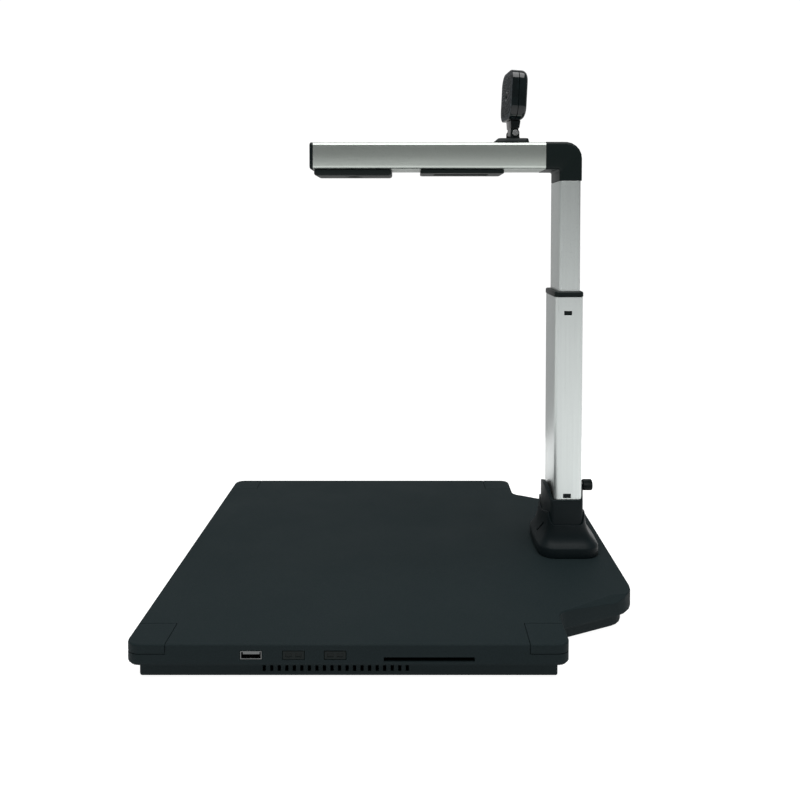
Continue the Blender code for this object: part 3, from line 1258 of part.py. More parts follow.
def rear_shell(mat):
    """Rear half of the webcam head with the neck and the knuckle between the fork's cheeks."""
    split_x = HEAD_SPLIT_X + GAP / 2
    rounding = HEAD_REAR_ROUNDING
    rounding_steps = 5
    rings = [head_ring(HEAD_REAR_X - HEAD_WALL, HEAD_WALL + rounding / 2),
             head_ring(HEAD_REAR_X - rounding, HEAD_WALL), head_ring(split_x, HEAD_WALL),
             head_ring(split_x, 0)]
    for step in range(rounding_steps + 1):
        angle = math.pi / 2 * step / rounding_steps
        rings.append(head_ring(HEAD_REAR_X - rounding * (1 - math.sin(angle)),
                               rounding * (1 - math.cos(angle))))
    shell = stack("webcam_rear_shell", rings, mat)
    neck_top = HEAD_Z[0] - GAP
    half_y = CHEEK_Y[1]
    lower = rectangle(-NECK_BOTTOM_HALF_X, NECK_BOTTOM_HALF_X, -half_y, half_y, NECK_R)
    upper = rectangle(-NECK_TOP_HALF_X, NECK_TOP_HALF_X, -half_y, half_y, NECK_R)
    neck = stack("neck", [in_xy(rounded_outline(lower), NECK_BOTTOM_Z),
                          in_xy(rounded_outline(upper), neck_top)], mat)
    root = block("neck_root", (split_x + GAP, OVERCUT - half_y, neck_top - OVERCUT),
                 (NECK_TOP_HALF_X - GAP, half_y - OVERCUT, HEAD_Z[0] + HEAD_WALL - GAP), mat)
    knuckle = cylinder("knuckle", (0, -KNUCKLE_HALF_Y, 0), (0, 1, 0), 2 * KNUCKLE_HALF_Y,
                       KNUCKLE_R, mat)
    inset = 0.1 * MM
    stem = block("stem", (inset - KNUCKLE_R, inset - KNUCKLE_HALF_Y, 0),
                 (KNUCKLE_R - inset, KNUCKLE_HALF_Y - inset, NECK_BOTTOM_Z + OVERCUT), mat)
    add(shell, root, neck, stem, knuckle)
    return cut(shell, hinge_hole(mat))


def webcam_optics(satin, board):
    """Lens and board inside the webcam head."""
    board_x = HEAD_FRONT_X + 4 * MM
    pcb = block("webcam_board",
                (board_x, -WEBCAM_BOARD_HALF_Y, HEAD_Z[0] + WEBCAM_BOARD_MARGIN_Z),
                (board_x + 1.2 * MM, WEBCAM_BOARD_HALF_Y, HEAD_Z[1] - WEBCAM_BOARD_MARGIN_Z),
                board)
    rim = 0.4 * MM
    front_x = HEAD_FRONT_X - GAP
    lens = turned("webcam_lens",
                  [(rim * 4, rim * 4), (rim * 6, rim * 2), (rim * 8, rim / 2),
                   (WEBCAM_LENS_R - rim, 0), (WEBCAM_LENS_R, rim),
                   (WEBCAM_LENS_R, board_x - GAP - front_x)],
                  (front_x, 0, sum(HEAD_Z) / 2), (1, 0, 0), satin, LENS_SEGMENTS)
    return lens, pcb


# --- Assembly -----------------------------------------------------------------------------
def build():
    clear_scene()
    m = make_materials()

    top_cover(m["case"])
    bottom_cover(m["case"])
    corner_caps(m["case"])
    feet(m["rubber"])
    case_screws(m["steel"])
    usb_port(m["steel"])
    port_blanks(m["satin"])
    card_reader(m["satin"])
    boards(m["board"])
    uplink_socket(m["steel"])
    anchor_plate(m["steel"])

    boot_foot(m["boot"])
    boot_collar(m["boot"])
    column_spigot(m["boot"])
    column_screws(m["steel"])
    outer_tube(m["alu"])
    ferrule(m["satin"])
    column_cable(m["cable"])

    screw_pivot = pivot_empty("thumbscrew_axis", (SHANK_X[0], 0, SCREW_Z))
    carry(screw_pivot, thumbscrew(m["satin"], m["steel"]))

    mast = pivot_empty("mast_axis", (COLUMN_X, 0, 0))
    on_mast = [inner_tube(m["alu"]), slide_shoe(m["satin"]), elbow(m["satin"]),
               arm_tube(m["alu"]), arm_end_cap(m["satin"]), camera_housing(m["satin"]),
               arm_cable(m["cable"]), webcam_foot(m["satin"])]
    on_mast += camera_module(m["satin"], m["glass"], m["board"])
    on_mast += light_bar(m["satin"], m["board"], m["diffuser"])
    carry(mast, on_mast)

    swivel = pivot_empty("webcam_swivel_axis", PIVOT - mast.location, (0, 0, SWIVEL_YAW), mast)
    for piece in (webcam_bracket(m["satin"]), hinge_screw(m["steel"]), hinge_nut(m["steel"])):
        piece.parent = swivel
    tilt = pivot_empty("webcam_tilt_axis", (0, 0, 0), (0, HEAD_TILT, 0), swivel)
    for piece in (front_shell(m["satin"]), rear_shell(m["satin"]),
                  *webcam_optics(m["satin"], m["board"])):
        piece.parent = tilt


build()
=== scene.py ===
"""The looks of the overhead book scanner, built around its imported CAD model.

Measures are metres in the model's frame: +Z up, the column at +X, the side with the ports at -Y.
"""

import math
import random

import bmesh
import bpy
from mathutils import Matrix, Vector


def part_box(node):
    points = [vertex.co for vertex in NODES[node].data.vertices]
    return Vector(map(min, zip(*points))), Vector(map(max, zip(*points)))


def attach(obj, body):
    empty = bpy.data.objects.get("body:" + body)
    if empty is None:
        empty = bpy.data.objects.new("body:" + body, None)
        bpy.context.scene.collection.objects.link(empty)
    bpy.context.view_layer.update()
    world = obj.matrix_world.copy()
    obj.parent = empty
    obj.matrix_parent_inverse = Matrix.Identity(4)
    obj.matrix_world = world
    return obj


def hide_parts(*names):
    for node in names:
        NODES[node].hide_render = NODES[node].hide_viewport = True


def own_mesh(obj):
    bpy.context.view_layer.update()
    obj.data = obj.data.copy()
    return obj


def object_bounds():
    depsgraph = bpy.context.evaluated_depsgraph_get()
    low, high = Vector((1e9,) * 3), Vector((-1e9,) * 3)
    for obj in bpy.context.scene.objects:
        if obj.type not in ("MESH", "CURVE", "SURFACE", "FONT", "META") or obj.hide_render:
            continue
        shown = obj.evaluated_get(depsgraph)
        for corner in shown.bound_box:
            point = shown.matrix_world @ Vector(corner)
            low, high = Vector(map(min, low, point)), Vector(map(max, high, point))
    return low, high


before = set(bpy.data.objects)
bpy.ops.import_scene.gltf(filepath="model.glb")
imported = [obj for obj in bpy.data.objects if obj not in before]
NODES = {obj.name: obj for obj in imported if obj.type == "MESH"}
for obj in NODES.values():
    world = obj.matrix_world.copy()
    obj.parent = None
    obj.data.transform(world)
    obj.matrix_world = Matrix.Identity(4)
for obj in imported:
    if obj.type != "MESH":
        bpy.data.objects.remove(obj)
cad_low, cad_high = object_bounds()

MM = 0.001
SHARP = math.radians(32)          # edges sharper than this are rounded off
WELD = 0.01 * MM
FLAT = math.radians(0.4)          # triangles this flat to each other are one face
EDGE_STEPS = 2                    # flats across a rounded edge
STAND_OFF = 0.05 * MM             # between a component and the board under it
SCREW_HEAD = 1.1 * MM             # height of a case screw's head


# ---------------------------------------------------------------- materials

class Shader:
    """The node tree of one material, worked out in the object's own coordinates."""

    def __init__(self, name, **fixed):
        self.material = bpy.data.materials.get(name) or bpy.data.materials.new(name)
        self.material.use_nodes = True
        self.tree = self.material.node_tree
        self.tree.nodes.clear()
        self.surface = self.add("ShaderNodeBsdfPrincipled")
        output = self.add("ShaderNodeOutputMaterial")
        self.link(self.surface.outputs["BSDF"], output.inputs["Surface"])
        self.place = self.add("ShaderNodeTexCoord").outputs["Object"]
        for socket, value in fixed.items():
            self.surface.inputs[socket.replace("_", " ")].default_value = value

    def add(self, kind, **settings):
        node = self.tree.nodes.new(kind)
        for name, value in settings.items():
            setattr(node, name, value)
        return node

    def link(self, source, target):
        self.tree.links.new(source, target)

    def stretched(self, scale):
        """The coordinates scaled unevenly, so that a pattern runs along one axis."""
        mapping = self.add("ShaderNodeMapping")
        mapping.inputs["Scale"].default_value = scale
        self.link(self.place, mapping.inputs["Vector"])
        return mapping.outputs["Vector"]

    def noise(self, per_metre, detail=3.0, stretch=None):
        texture = self.add("ShaderNodeTexNoise")
        texture.inputs["Scale"].default_value = per_metre
        texture.inputs["Detail"].default_value = detail
        self.link(self.stretched(stretch) if stretch else self.place, texture.inputs["Vector"])
        return texture.outputs["Fac"]

    def cells(self, per_metre, feature="F1", randomness=1.0):
        texture = self.add("ShaderNodeTexVoronoi", feature=feature)
        texture.inputs["Scale"].default_value = per_metre
        texture.inputs["Randomness"].default_value = randomness
        self.link(self.place, texture.inputs["Vector"])
        return texture.outputs["Distance"]

    def between(self, value, from_range, to_range):
        span = self.add("ShaderNodeMapRange")
        for name, number in zip(("From Min", "From Max", "To Min", "To Max"), (*from_range, *to_range)):
            span.inputs[name].default_value = number
        self.link(value, span.inputs["Value"])
        return span.outputs["Result"]

    def multiply(self, first, second):
        node = self.add("ShaderNodeMath", operation="MULTIPLY")
        self.link(first, node.inputs[0])
        self.link(second, node.inputs[1])
        return node.outputs["Value"]

    def mix(self, share, dark, light):
        """A colour between dark and light, each a colour or another mix's output."""
        node = self.add("ShaderNodeMix", data_type="RGBA")
        self.link(share, node.inputs["Factor"])
        for socket, colour in ((node.inputs[6], dark), (node.inputs[7], light)):
            if isinstance(colour, tuple):
                socket.default_value = (*colour, 1)
            else:
                self.link(colour, socket)
        return node.outputs[2]

    def paint(self, colour):
        self.link(colour, self.surface.inputs["Base Color"])

    def roughness(self, value):
        self.link(value, self.surface.inputs["Roughness"])

    def bump(self, *layers):
        """Each layer is a height and its depth in metres."""
        normal = None
        for height, depth in layers:
            node = self.add("ShaderNodeBump")
            node.inputs["Distance"].default_value = depth
            self.link(height, node.inputs["Height"])
            if normal:
                self.link(normal, node.inputs["Normal"])
            normal = node.outputs["Normal"]
        self.link(normal, self.surface.inputs["Normal"])


def shade(colour, factor):
    return tuple(channel * factor for channel in colour)


def moulded_plastic(name, colour, grain_per_metre, grain_depth, rough, specular, variation=0.12):
    """Moulded ABS with a spark-eroded grain, faint flow marks and patches rubbed smoother by use."""
    s = Shader(name, Specular_IOR_Level=specular)
    grain = s.cells(grain_per_metre, feature="SMOOTH_F1")
    flow = s.noise(24, detail=4)
    rubbed = s.noise(14, detail=3)
    paler, darker = shade(colour, 1 + variation), shade(colour, 1 - variation)
    speckle = s.mix(s.between(grain, (0.1, 0.8), (0, 1)), paler, darker)
    s.paint(s.mix(s.between(flow, (0.35, 0.65), (0, 0.3)), speckle, shade(colour, 1.08)))
    s.roughness(s.between(rubbed, (0.3, 0.7), rough))
    s.bump((grain, grain_depth), (s.noise(grain_per_metre * 0.4), grain_depth * 0.6))
    return s.material


def gloss_plastic(name, colour, rough):
    """Polished black moulding with fingermarks and hairline wiping marks."""
    s = Shader(name, Specular_IOR_Level=0.3, Coat_Weight=0.15, Coat_Roughness=0.08)
    marks = s.noise(90, detail=5)
    wiped = s.noise(900, detail=2, stretch=(1, 1, 0.06))
    s.paint(s.mix(s.between(marks, (0.4, 0.7), (0, 1)), colour, shade(colour, 1.6)))
    s.roughness(s.between(s.multiply(marks, wiped), (0.1, 0.4), rough))
    s.bump((wiped, 0.002 * MM))
    return s.material


def pebbled_face(name, dark, light):
    """Dark grey moulded face with a dense field of small round pits, mottled by handling, with painted shade
    darkening each pit.
    """
    s = Shader(name, Specular_IOR_Level=0.12)
    pits = s.cells(420, randomness=0.3)
    rim = s.between(pits, (0.15, 0.5), (0, 1))
    mottle = s.between(s.noise(380, detail=2), (0.35, 0.62), (0, 1))
    # colour: the pit mask darkens each pit as painted shade, the mottle varies the tone at random
    s.paint(s.mix(s.between(s.multiply(rim, mottle), (0, 0.5), (0, 1)), dark, light))
    s.roughness(s.between(s.noise(140), (0.3, 0.7), (0.42, 0.6)))
    s.bump((rim, 0.15 * MM), (s.noise(2600), 0.02 * MM))
    return s.material


def anodised(name, colour, lines_along):
    """Sand-blasted, anodised extrusion: an even sparkle over faint die lines that run along it."""
    s = Shader(name, Metallic=1.0, Specular_IOR_Level=0.5)
    stretch = tuple(0.015 if axis == lines_along else 1.0 for axis in "xyz")
    lines = s.noise(650, detail=2, stretch=stretch)
    blast = s.noise(3200, detail=2)
    clouds = s.noise(16, detail=3)
    tone = s.mix(s.between(lines, (0.35, 0.65), (0, 1)), shade(colour, 0.975), shade(colour, 1.02))
    s.paint(s.mix(s.between(clouds, (0.4, 0.7), (0, 0.4)), tone, shade(colour, 0.94)))
    s.roughness(s.between(blast, (0.3, 0.7), (0.27, 0.4)))
    s.bump((blast, 0.025 * MM), (lines, 0.012 * MM))
    return s.material


def plated_steel(name, colour):
    """Nickel-plated steel with drawing lines and small bright scratches."""
    s = Shader(name, Metallic=1.0)
    drawn = s.noise(1800, detail=2, stretch=(1, 0.05, 1))
    scratch = s.noise(420, detail=5)
    s.paint(s.mix(s.between(scratch, (0.45, 0.7), (0, 1)), shade(colour, 0.85), colour))
    s.roughness(s.between(drawn, (0.3, 0.7), (0.2, 0.38)))
    s.bump((drawn, 0.006 * MM))
    return s.material


def rubbery(name, colour, grain_per_metre, rough):
    """Matt rubber: fine pores and a little dust in the grain."""
    s = Shader(name, Specular_IOR_Level=0.3)
    pores = s.cells(grain_per_metre)
    dust = s.noise(70, detail=5)
    s.paint(s.mix(s.between(dust, (0.5, 0.75), (0, 0.6)), colour, shade(colour, 2.2)))
    s.roughness(s.between(pores, (0.1, 0.8), rough))
    s.bump((pores, 0.04 * MM))
    return s.material


def solder_mask(name):
    """Green lacquer over copper: lighter traces in a loose grid, tinned pads in rows."""
    s = Shader(name, Specular_IOR_Level=0.5, Coat_Weight=0.2)
    traces = s.cells(260, feature="DISTANCE_TO_EDGE", randomness=0.25)
    pads = s.cells(330, randomness=0.0)
    lacquer = s.mix(s.between(traces, (0.04, 0.09), (1, 0)), (0.006, 0.055, 0.024), (0.016, 0.115, 0.045))
    s.paint(s.mix(s.between(pads, (0.16, 0.2), (1, 0)), lacquer, (0.52, 0.5, 0.44)))
    s.roughness(s.between(s.noise(300), (0.3, 0.7), (0.25, 0.4)))
    s.bump((s.between(traces, (0.04, 0.09), (1, 0)), 0.03 * MM))
    return s.material


def coated_glass(name):
    """Multi-coated glass: nearly black straight on, with a violet and green painted reflection of its coating
    where it turns away.
    """
    s = Shader(name, Specular_IOR_Level=0.9, Coat_Weight=1.0, Coat_Roughness=0.02)
    facing = s.add("ShaderNodeLayerWeight")
    facing.inputs["Blend"].default_value = 0.35
    painted_coating_reflection = s.mix(s.noise(180), (0.05, 0.02, 0.09), (0.015, 0.06, 0.045))
    # the colour turns violet and green towards grazing: painted reflection of the coating
    s.paint(s.mix(facing.outputs["Facing"], (0.004, 0.004, 0.008), painted_coating_reflection))
    s.roughness(s.between(s.noise(260, detail=4), (0.3, 0.7), (0.03, 0.07)))
    return s.material


def frosted(name, colour):
    """Frosted acrylic: milky, with a fine etched surface."""
    s = Shader(name, Specular_IOR_Level=0.4, Subsurface_Weight=0.25, Subsurface_Scale=1.5 * MM)
    etch = s.noise(1500, detail=2)
    s.paint(s.mix(s.noise(30), shade(colour, 0.95), colour))
    s.roughness(s.between(etch, (0.3, 0.7), (0.45, 0.62)))
    s.bump((etch, 0.02 * MM))
    return s.material


def make_materials():
    """One finish for each material slot of the record, under the slot's own name."""
    return {
        "textured_abs": moulded_plastic("textured_abs", (0.0088, 0.0144, 0.0158), 1500, 0.07 * MM,
                                        (0.55, 0.65), 0.06),
        "boot_plastic": moulded_plastic("boot_plastic", (0.0042, 0.0078, 0.0090), 2200, 0.03 * MM,
                                        (0.36, 0.5), 0.12),
        "satin_black": moulded_plastic("satin_black", (0.0032, 0.0066, 0.0064), 2400, 0.025 * MM,
                                       (0.34, 0.48), 0.12),
        "webcam_gloss": gloss_plastic("webcam_gloss", (0.002, 0.0042, 0.0046), (0.07, 0.15)),
        "webcam_face": pebbled_face("webcam_face", (0.003, 0.0042, 0.005), (0.027, 0.034, 0.040)),
        "satin_aluminium": anodised("satin_aluminium", (0.565, 0.60, 0.59), "z"),
        # the arm's aluminium is the column's satin aluminium painted darker: painted shade
        "shaded_arm_aluminium": anodised("shaded_arm_aluminium", (0.44, 0.475, 0.445), "x"),
        "steel": plated_steel("steel", (0.42, 0.43, 0.43)),
        # the port's plated steel is the screws' steel painted darker: painted shade
        "shaded_port_steel": plated_steel("shaded_port_steel", (0.13, 0.135, 0.135)),
        "port_insulator": moulded_plastic("port_insulator", (0.055, 0.058, 0.057), 2400, 0.02 * MM,
                                          (0.4, 0.5), 0.2),
        "rubber": rubbery("rubber", (0.013, 0.013, 0.014), 1800, (0.7, 0.9)),
        "circuit_board": solder_mask("circuit_board"),
        "cable_jacket": rubbery("cable_jacket", (0.012, 0.012, 0.013), 2600, (0.45, 0.6)),
        "lens_glass": coated_glass("lens_glass"),
        "diffuser": frosted("diffuser", (0.82, 0.83, 0.80)),
    }


# ---------------------------------------------------------------- mesh helpers

def soften(obj, width):
    """Rounds off an object's sharp edges, so that they catch the light as moulded edges do."""
    mesh = obj.data
    normals = mesh.attributes.get("custom_normal")
    if normals:
        mesh.attributes.remove(normals)
    mesh.shade_smooth()
    weld = obj.modifiers.new("weld", "WELD")
    weld.merge_threshold = WELD
    flat = obj.modifiers.new("faces", "DECIMATE")
    flat.decimate_type = "DISSOLVE"
    flat.angle_limit = FLAT
    bevel = obj.modifiers.new("edges", "BEVEL")
    bevel.width = width
    bevel.segments = EDGE_STEPS
    bevel.limit_method = "ANGLE"
    bevel.angle_limit = SHARP
    bevel.use_clamp_overlap = False
    bevel.harden_normals = True


def piece(name, bm, material, body):
    """A finished mesh that rides on a body and takes its finish from a slot of the record."""
    bmesh.ops.recalc_face_normals(bm, faces=bm.faces)
    mesh = bpy.data.meshes.new(name)
    bm.to_mesh(mesh)
    bm.free()
    mesh.materials.append(material)
    mesh.shade_smooth()
    mesh.set_sharp_from_angle(angle=SHARP)
    obj = bpy.data.objects.new(name, mesh)
    bpy.context.scene.collection.objects.link(obj)
    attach(obj, body)
    return obj


def turned(bm, profile, place, direction, segments, radius_at=None):
    """A solid of revolution. The profile is (distance along the axis, radius) from end to end."""
    turn = Vector((0, 0, 1)).rotation_difference(Vector(direction)).to_matrix().to_4x4()
    where = Matrix.Translation(place) @ turn
    rings = []
    for along, radius in profile:
        ring = []
        for k in range(segments):
            angle = 2 * math.pi * k / segments
            r = radius_at(angle, radius) if radius_at else radius
            ring.append(bm.verts.new(where @ Vector((r * math.cos(angle), r * math.sin(angle), along))))
        rings.append(ring)
    for low, high in zip(rings, rings[1:]):
        for k in range(segments):
            bm.faces.new((low[k], low[k - 1], high[k - 1], high[k]))
    bm.faces.new(rings[0])
    bm.faces.new(rings[-1])


def chip(bm, centre, size, bevel):
    """A small box with rounded edges, such as an electronic component."""
    made = bmesh.ops.create_cube(bm, size=1, matrix=Matrix.Translation(centre) @ Matrix.Diagonal((*size, 1)))
    edges = {edge for vert in made["verts"] for edge in vert.link_edges}
    bmesh.ops.bevel(bm, geom=list(edges), offset=bevel, segments=2, affect="EDGES", profile=0.5)


def centre_of(node):
    low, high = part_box(node)
    return (low + high) / 2


# ---------------------------------------------------------------- pieces

def face_and_sides(shell, gloss):
    """The webcam's front shell is pebbled on its flat face and polished around it."""
    normal = front_plane()[0]
    shell.data.materials.append(gloss)
    for face in shell.data.polygons:
        face.material_index = 0 if face.normal.dot(normal) > 0.97 else 1


# nodes whose finish isn't their slot's own, each matched to the photograph
# the arm's and the port's finishes here are darker copies of their slots' own, as painted shade
FINISH_OF = {"arm_tube": "shaded_arm_aluminium", "webcam_rear_shell": "webcam_gloss", "usb_port": "shaded_port_steel"}
EDGE_WIDTH = {                    # how far each finish's sharp edges are rounded, in millimetres
    "textured_abs": 0.35, "boot_plastic": 0.3, "satin_black": 0.3, "webcam_gloss": 0.25,
    "webcam_face": 0.35, "satin_aluminium": 0.15, "shaded_arm_aluminium": 0.15, "steel": 0.1,
    "shaded_port_steel": 0.08, "rubber": 0.3, "circuit_board": 0.1, "cable_jacket": 0.1,
    "lens_glass": 0.1, "diffuser": 0.15,
}


def cad_surfaces(finishes):
    """The CAD nodes keep their shapes and get their finish and softened edges."""
    for name, node in NODES.items():
        slot = FINISH_OF.get(name, node.data.materials[0].name)
        node.data.materials[0] = finishes[slot]
        soften(node, EDGE_WIDTH[slot] * MM)
    face_and_sides(NODES["webcam_front_shell"], finishes["webcam_gloss"])


def coiled_lead(finish):
    """The lead from the base to the arm, as a fixed coil on the base; the real lead is coiled so that it
    stretches as the column is drawn out.
    """
    low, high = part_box("column_cable")
    centre = (low + high) / 2
    wire = 0.68 * MM
    radius = (high.x - low.x) / 2 - wire
    turns, steps, sides = 46, 18, 8
    bottom, height = low.z + wire, high.z - low.z - 2 * wire
    bm = bmesh.new()
    rings = []
    for k in range(turns * steps + 1):
        angle = 2 * math.pi * k / steps
        outward = Vector((math.cos(angle), math.sin(angle), 0))
        middle = Vector((centre.x, centre.y, bottom + height * k / (turns * steps))) + radius * outward
        rings.append([bm.verts.new(middle + wire * (math.cos(a) * outward + math.sin(a) * Vector((0, 0, 1))))
                      for a in (2 * math.pi * side / sides for side in range(sides))])
    for first, second in zip(rings, rings[1:]):
        for side in range(sides):
            bm.faces.new((first[side - 1], first[side], second[side], second[side - 1]))
    bm.faces.new(rings[0])
    bm.faces.new(rings[-1])
    coil = piece("coiled_lead", bm, finish, "base")
    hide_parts("column_cable")
    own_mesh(coil)


def ribbed_feet(finish):
    """Turned rubber feet with three grip rings on their soles."""
    for number in range(1, 7):
        low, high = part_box(f"foot_{number}")
        radius, height = (high.x - low.x) / 2, high.z - low.z
        profile = [(height, 0.2 * MM), (height, radius), (0.9 * MM, radius), (0.25 * MM, radius - 0.6 * MM)]
        for ring in (0.86, 0.6, 0.34):
            outer = radius * ring
            profile += [(0, outer), (0, outer - 0.8 * MM), (0.45 * MM, outer - 1.1 * MM),
                        (0.45 * MM, outer - 1.7 * MM)]
        profile += [(0.45 * MM, 0.2 * MM)]
        bm = bmesh.new()
        turned(bm, profile, (*centre_of(f"foot_{number}").xy, low.z), (0, 0, 1), 40)
        foot = piece(f"ribbed_foot_{number}", bm, finish, "base")
        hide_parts(f"foot_{number}")


def cross_screw(name, place, direction, radius, height, finish, body, replaced):
    """The head of a pan-head screw with a cross recess, facing direction. It has no shank."""
    arm, reach, deep = radius * 0.17, radius * 0.58, height * 0.55
    steps = 32
    bm = bmesh.new()
    turn = Vector((0, 0, 1)).rotation_difference(Vector(direction)).to_matrix().to_4x4()
    where = Matrix.Translation(place) @ turn
    cross = []
    for quarter in range(4):
        spin = Matrix.Rotation(quarter * math.pi / 2, 3, "Z")
        cross += [spin @ Vector((x, y, 0)) for x, y in ((reach, -arm), (reach, arm), (arm, arm))]

    def loop(points, z):
        return [bm.verts.new(where @ Vector((p.x, p.y, z))) for p in points]

    def circle(r):
        return [Vector((r * math.cos(2 * math.pi * k / steps), r * math.sin(2 * math.pi * k / steps), 0))
                for k in range(steps)]

    def bridge(first, second):
        edges = [bm.edges.get((ring[k - 1], ring[k])) or bm.edges.new((ring[k - 1], ring[k]))
                 for ring in (first, second) for k in range(len(ring))]
        bmesh.ops.bridge_loops(bm, edges=edges)

    floor = loop(cross, height - deep)
    mouth = loop(cross, height)
    rim = loop(circle(radius * 0.72), height)
    shoulder = loop(circle(radius * 0.95), height * 0.72)
    side = loop(circle(radius), height * 0.35)
    seat = loop(circle(radius), 0)
    bm.faces.new(floor)
    bm.faces.new(seat)
    for first, second in ((floor, mouth), (mouth, rim), (rim, shoulder), (shoulder, side), (side, seat)):
        bridge(first, second)
    screw = piece(name, bm, finish, body)
    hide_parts(replaced)


def case_screws(finish):
    for number in range(1, 5):
        node = f"case_screw_{number}"
        low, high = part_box(node)
        radius = (high.x - low.x) / 2
        middle = centre_of(node)
        cross_screw(f"cross_screw_{number}", (middle.x, middle.y, low.z + SCREW_HEAD), (0, 0, -1), radius,
                    SCREW_HEAD, finish, "base", node)


def knurled_knob(finish):
    """The clamp's knob, with a fine straight knurl and turned shoulders."""
    low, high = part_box("thumbscrew_knob")
    radius, length = (high.z - low.z) / 2, high.x - low.x
    ribs = 30

    def knurl(angle, r):
        if r < radius * 0.86:
            return r
        return r - 0.22 * MM * (0.5 - 0.5 * math.cos(ribs * angle))

    shank_low, shank_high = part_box("thumbscrew_shank")
    bore = (shank_high.z - shank_low.z) / 2 + 0.25 * MM
    profile = [(0.3 * MM, bore), (0, bore + 0.4 * MM), (0, radius * 0.8), (0.5 * MM, radius * 0.87),
               (0.9 * MM, radius * 0.99), (length - 1.1 * MM, radius * 0.99),
               (length - 0.6 * MM, radius * 0.92), (length - 0.15 * MM, radius * 0.8),
               (length, radius * 0.66), (length - 0.35 * MM, radius * 0.5), (length - 0.45 * MM, 0.2 * MM)]
    middle = centre_of("thumbscrew_knob")
    bm = bmesh.new()
    turned(bm, profile, (low.x, middle.y, middle.z), (1, 0, 0), ribs * 6, knurl)
    knob = piece("knurled_knob", bm, finish, "clamp_knob")
    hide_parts("thumbscrew_knob")


def usb_insert(plastic, metal):
    """The port's grey insulator, with four plated contacts along its lower face."""
    low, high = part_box("usb_port")
    middle = (low + high) / 2
    face, half_x = low.y + 1.6 * MM, 5.7 * MM
    bottom, top = middle.z + 0.05 * MM, middle.z + 1.75 * MM
    depth = 5 * MM
    bm = bmesh.new()
    chip(bm, (middle.x, face + depth / 2, (bottom + top) / 2), (2 * half_x, depth, top - bottom), 0.15 * MM)
    piece("usb_insulator", bm, plastic, "base")
    bm = bmesh.new()
    for k in range(4):
        x = middle.x + (k - 1.5) * 2.3 * MM
        chip(bm, (x, face + 2.4 * MM, bottom - 0.1 * MM), (1.1 * MM, 4 * MM, 0.25 * MM), 0.05 * MM)
    piece("usb_contacts", bm, metal, "base")


def board_components(finish):
    """Chips, capacitors and a crystal on the main board, laid out the same way each time."""
    low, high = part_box("main_board")
    draw = random.Random(7)
    bm = bmesh.new()
    for column in range(5):
        for row in range(4):
            x = low.x + (high.x - low.x) * (0.14 + 0.18 * column)
            y = low.y + (high.y - low.y) * (0.2 + 0.2 * row)
            size = (draw.uniform(3, 11) * MM, draw.uniform(3, 9) * MM, draw.uniform(0.8, 1.8) * MM)
            chip(bm, (x, y, high.z + size[2] / 2 + STAND_OFF), size, 0.12 * MM)
    piece("board_components", bm, finish, "base")


def light_dots(finish):
    """Three rows of light-emitting diodes on the lower face of the light bar's board."""
    low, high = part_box("light_board")
    bm = bmesh.new()
    across, along = 3, 10
    for row in range(across):
        for column in range(along):
            x = low.x + (high.x - low.x) * (column + 0.5) / along
            y = low.y + (high.y - low.y) * (row + 0.5) / across
            chip(bm, (x, y, low.z - 0.09 * MM), (2.4 * MM, 1.6 * MM, 0.16 * MM), 0.04 * MM)
    piece("light_diodes", bm, finish, "mast")


def lens_bezel(finish):
    """A turned ring around the camera's glass, within the wall of its barrel."""
    low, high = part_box("lens_glass")
    middle = (low + high) / 2
    mouth = (high.x - low.x) / 2
    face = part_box("lens_barrel")[0].z
    bm = bmesh.new()
    steps = 56
    turned(bm, [(0, mouth * 1.06), (0, mouth * 1.3), (0.25 * MM, mouth * 1.36), (0.6 * MM, mouth * 1.36),
                (0.6 * MM, mouth * 1.06)], (middle.x, middle.y, face), (0, 0, 1), steps)
    caps = [f for f in bm.faces if len(f.verts) == steps]
    bmesh.ops.delete(bm, geom=caps, context="FACES_ONLY")
    edges = [edge for edge in bm.edges if len(edge.link_faces) == 1]
    bmesh.ops.bridge_loops(bm, edges=edges)
    piece("lens_ring", bm, finish, "mast")


def front_plane():
    """The webcam's front face: its outward normal, its level and upright directions, and a point on it."""
    faces = [f for f in NODES["webcam_front_shell"].data.polygons if f.normal.x < -0.98]
    normal = sum((f.area * f.normal for f in faces), Vector()).normalized()
    point = max((f.center for f in faces), key=lambda centre: centre.dot(normal)).copy()
    level = Vector((0, 0, 1)).cross(normal).normalized()
    return normal, level, normal.cross(level), point


def webcam_dots(finish):
    """Rings of raised dots around the webcam's lens, kept off the rim of its face."""
    normal, level, upright, point = front_plane()
    low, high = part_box("webcam_front_shell")
    lens = centre_of("webcam_lens")
    centre = (low + high) / 2
    rim = 4.2 * MM
    half_y, half_z = (high.y - low.y) / 2 - rim, (high.z - low.z) / 2 - rim
    corner = 7 * MM
    bm = bmesh.new()
    for ring in range(3, 11):
        radius, count = ring * 2.2 * MM, 5 * ring
        for k in range(count):
            angle = 2 * math.pi * (k + 0.5 * (ring % 2)) / count
            spot = lens + radius * (math.cos(angle) * level + math.sin(angle) * upright)
            spot += (point - spot).dot(normal) * normal
            across, up = abs((spot - centre).dot(level)), abs((spot - centre).dot(upright))
            in_corner = Vector((max(0, across - half_y + corner), max(0, up - half_z + corner)))
            if in_corner.length > corner or across > half_y or up > half_z:
                continue
            turned(bm, [(-0.1 * MM, 0.78 * MM), (0.3 * MM, 0.7 * MM), (0.5 * MM, 0.35 * MM)], spot, normal, 8)
    piece("webcam_dots", bm, finish, "webcam_head")


# ---------------------------------------------------------------- the set

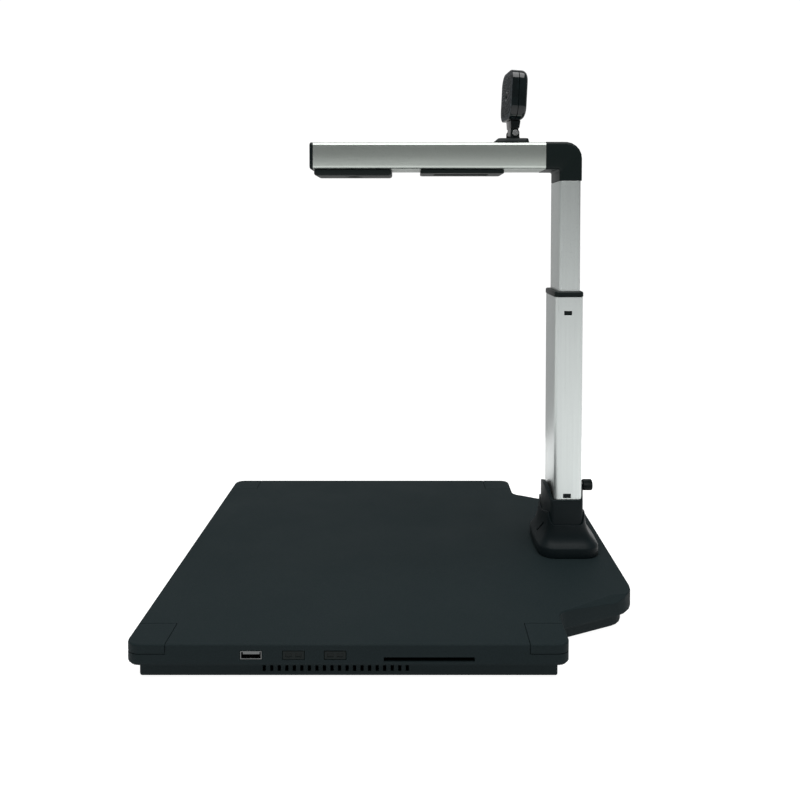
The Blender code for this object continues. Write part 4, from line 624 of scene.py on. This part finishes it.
ROOM = (0.17, 0.175, 0.172)       # what the object sees around it
BACKDROP = (1.05, 1.05, 1.05)     # what the camera sees behind it
FLOOR_RADIUS = 14
CARD_Y = 0.45
CARD_HALF_WIDTH = 1.4
CARD_HEIGHT = 1.1
SOFTBOX_PLACE = (0.0, -0.35, 1.5)
SOFTBOX_SIZE = (1.8, 1.2)
SOFTBOX_WATTS = 34
CAMERA_PLACE = (0.0101, -0.6799, 0.3035)
CAMERA_PITCH = math.radians(88)   # from straight down, so 2 degrees below the level
CAMERA_LENS = 35.064              # millimetres, on a sensor of SENSOR_WIDTH
SENSOR_WIDTH = 36
CAMERA_SHIFT = (-0.0128, -0.1793)


def area_light(name, place, target, size, energy):
    data = bpy.data.lights.new(name, "AREA")
    data.shape = "RECTANGLE"
    data.size, data.size_y = size
    data.energy = energy
    light = bpy.data.objects.new(name, data)
    light.location = place
    light.rotation_euler = (Vector(target) - Vector(place)).to_track_quat("-Z", "Y").to_euler()
    bpy.context.scene.collection.objects.link(light)


def staged(name, bm, material):
    """A mesh of the set, which isn't part of the object."""
    mesh = bpy.data.meshes.new(name)
    bm.to_mesh(mesh)
    bm.free()
    mesh.materials.append(material)
    obj = bpy.data.objects.new(name, mesh)
    bpy.context.scene.collection.objects.link(obj)
    return obj


def set_floor():
    """A pale floor that runs out of sight. It glows, so that it stays as light as the backdrop."""
    s = Shader("floor_paper", Specular_IOR_Level=0.1, Emission_Color=(1, 1, 1, 1), Emission_Strength=0.97)
    s.paint(s.mix(s.noise(6), (0.26, 0.26, 0.26), (0.29, 0.29, 0.29)))
    s.roughness(s.between(s.noise(40), (0.3, 0.7), (0.8, 0.95)))
    bm = bmesh.new()
    bmesh.ops.create_circle(bm, cap_ends=True, radius=FLOOR_RADIUS, segments=96)
    staged("floor", bm, s.material)


def grey_card():
    """A grey card behind the object that only reflections see, so that the metal keeps its contrast."""
    s = Shader("card_paper", Emission_Color=(1, 1, 1, 1), Emission_Strength=0.3)
    s.paint(s.mix(s.noise(5), (0.1, 0.1, 0.1), (0.13, 0.13, 0.13)))
    bm = bmesh.new()
    corners = ((-CARD_HALF_WIDTH, 0), (CARD_HALF_WIDTH, 0),
               (CARD_HALF_WIDTH, CARD_HEIGHT), (-CARD_HALF_WIDTH, CARD_HEIGHT))
    bm.faces.new([bm.verts.new((x, CARD_Y, z)) for x, z in corners])
    staged("grey_card", bm, s.material).visible_camera = False


def set_lights():
    """A dark grey room that the camera sees as white, with one large softbox above the object."""
    world = bpy.data.worlds.new("studio")
    world.use_nodes = True
    nodes, links = world.node_tree.nodes, world.node_tree.links
    backdrop = nodes.new("ShaderNodeMix")
    backdrop.data_type = "RGBA"
    backdrop.inputs[6].default_value = (*ROOM, 1)
    backdrop.inputs[7].default_value = (*BACKDROP, 1)
    links.new(nodes.new("ShaderNodeLightPath").outputs["Is Camera Ray"], backdrop.inputs["Factor"])
    links.new(backdrop.outputs[2], nodes["Background"].inputs["Color"])
    bpy.context.scene.world = world
    middle = (cad_low + cad_high) / 2
    area_light("softbox_top", SOFTBOX_PLACE, middle, SOFTBOX_SIZE, SOFTBOX_WATTS)


def set_camera():
    """The photograph's view, fitted to the model's corners by least squares."""
    data = bpy.data.cameras.new("camera")
    data.lens = CAMERA_LENS
    data.sensor_width = SENSOR_WIDTH
    data.shift_x, data.shift_y = CAMERA_SHIFT
    data.clip_start, data.clip_end = 0.01, 60
    camera = bpy.data.objects.new("camera", data)
    camera.location = CAMERA_PLACE
    camera.rotation_euler = (CAMERA_PITCH, 0, 0)
    bpy.context.scene.collection.objects.link(camera)
    bpy.context.scene.camera = camera
    bpy.context.scene.view_settings.view_transform = "Standard"


def build():
    finishes = make_materials()
    cad_surfaces(finishes)
    coiled_lead(finishes["cable_jacket"])
    ribbed_feet(finishes["rubber"])
    case_screws(finishes["steel"])
    knurled_knob(finishes["satin_black"])
    usb_insert(finishes["port_insulator"], finishes["steel"])
    board_components(finishes["satin_black"])
    light_dots(finishes["diffuser"])
    lens_bezel(finishes["satin_black"])
    webcam_dots(finishes["webcam_gloss"])
    set_floor()
    grey_card()
    set_lights()
    set_camera()


build()
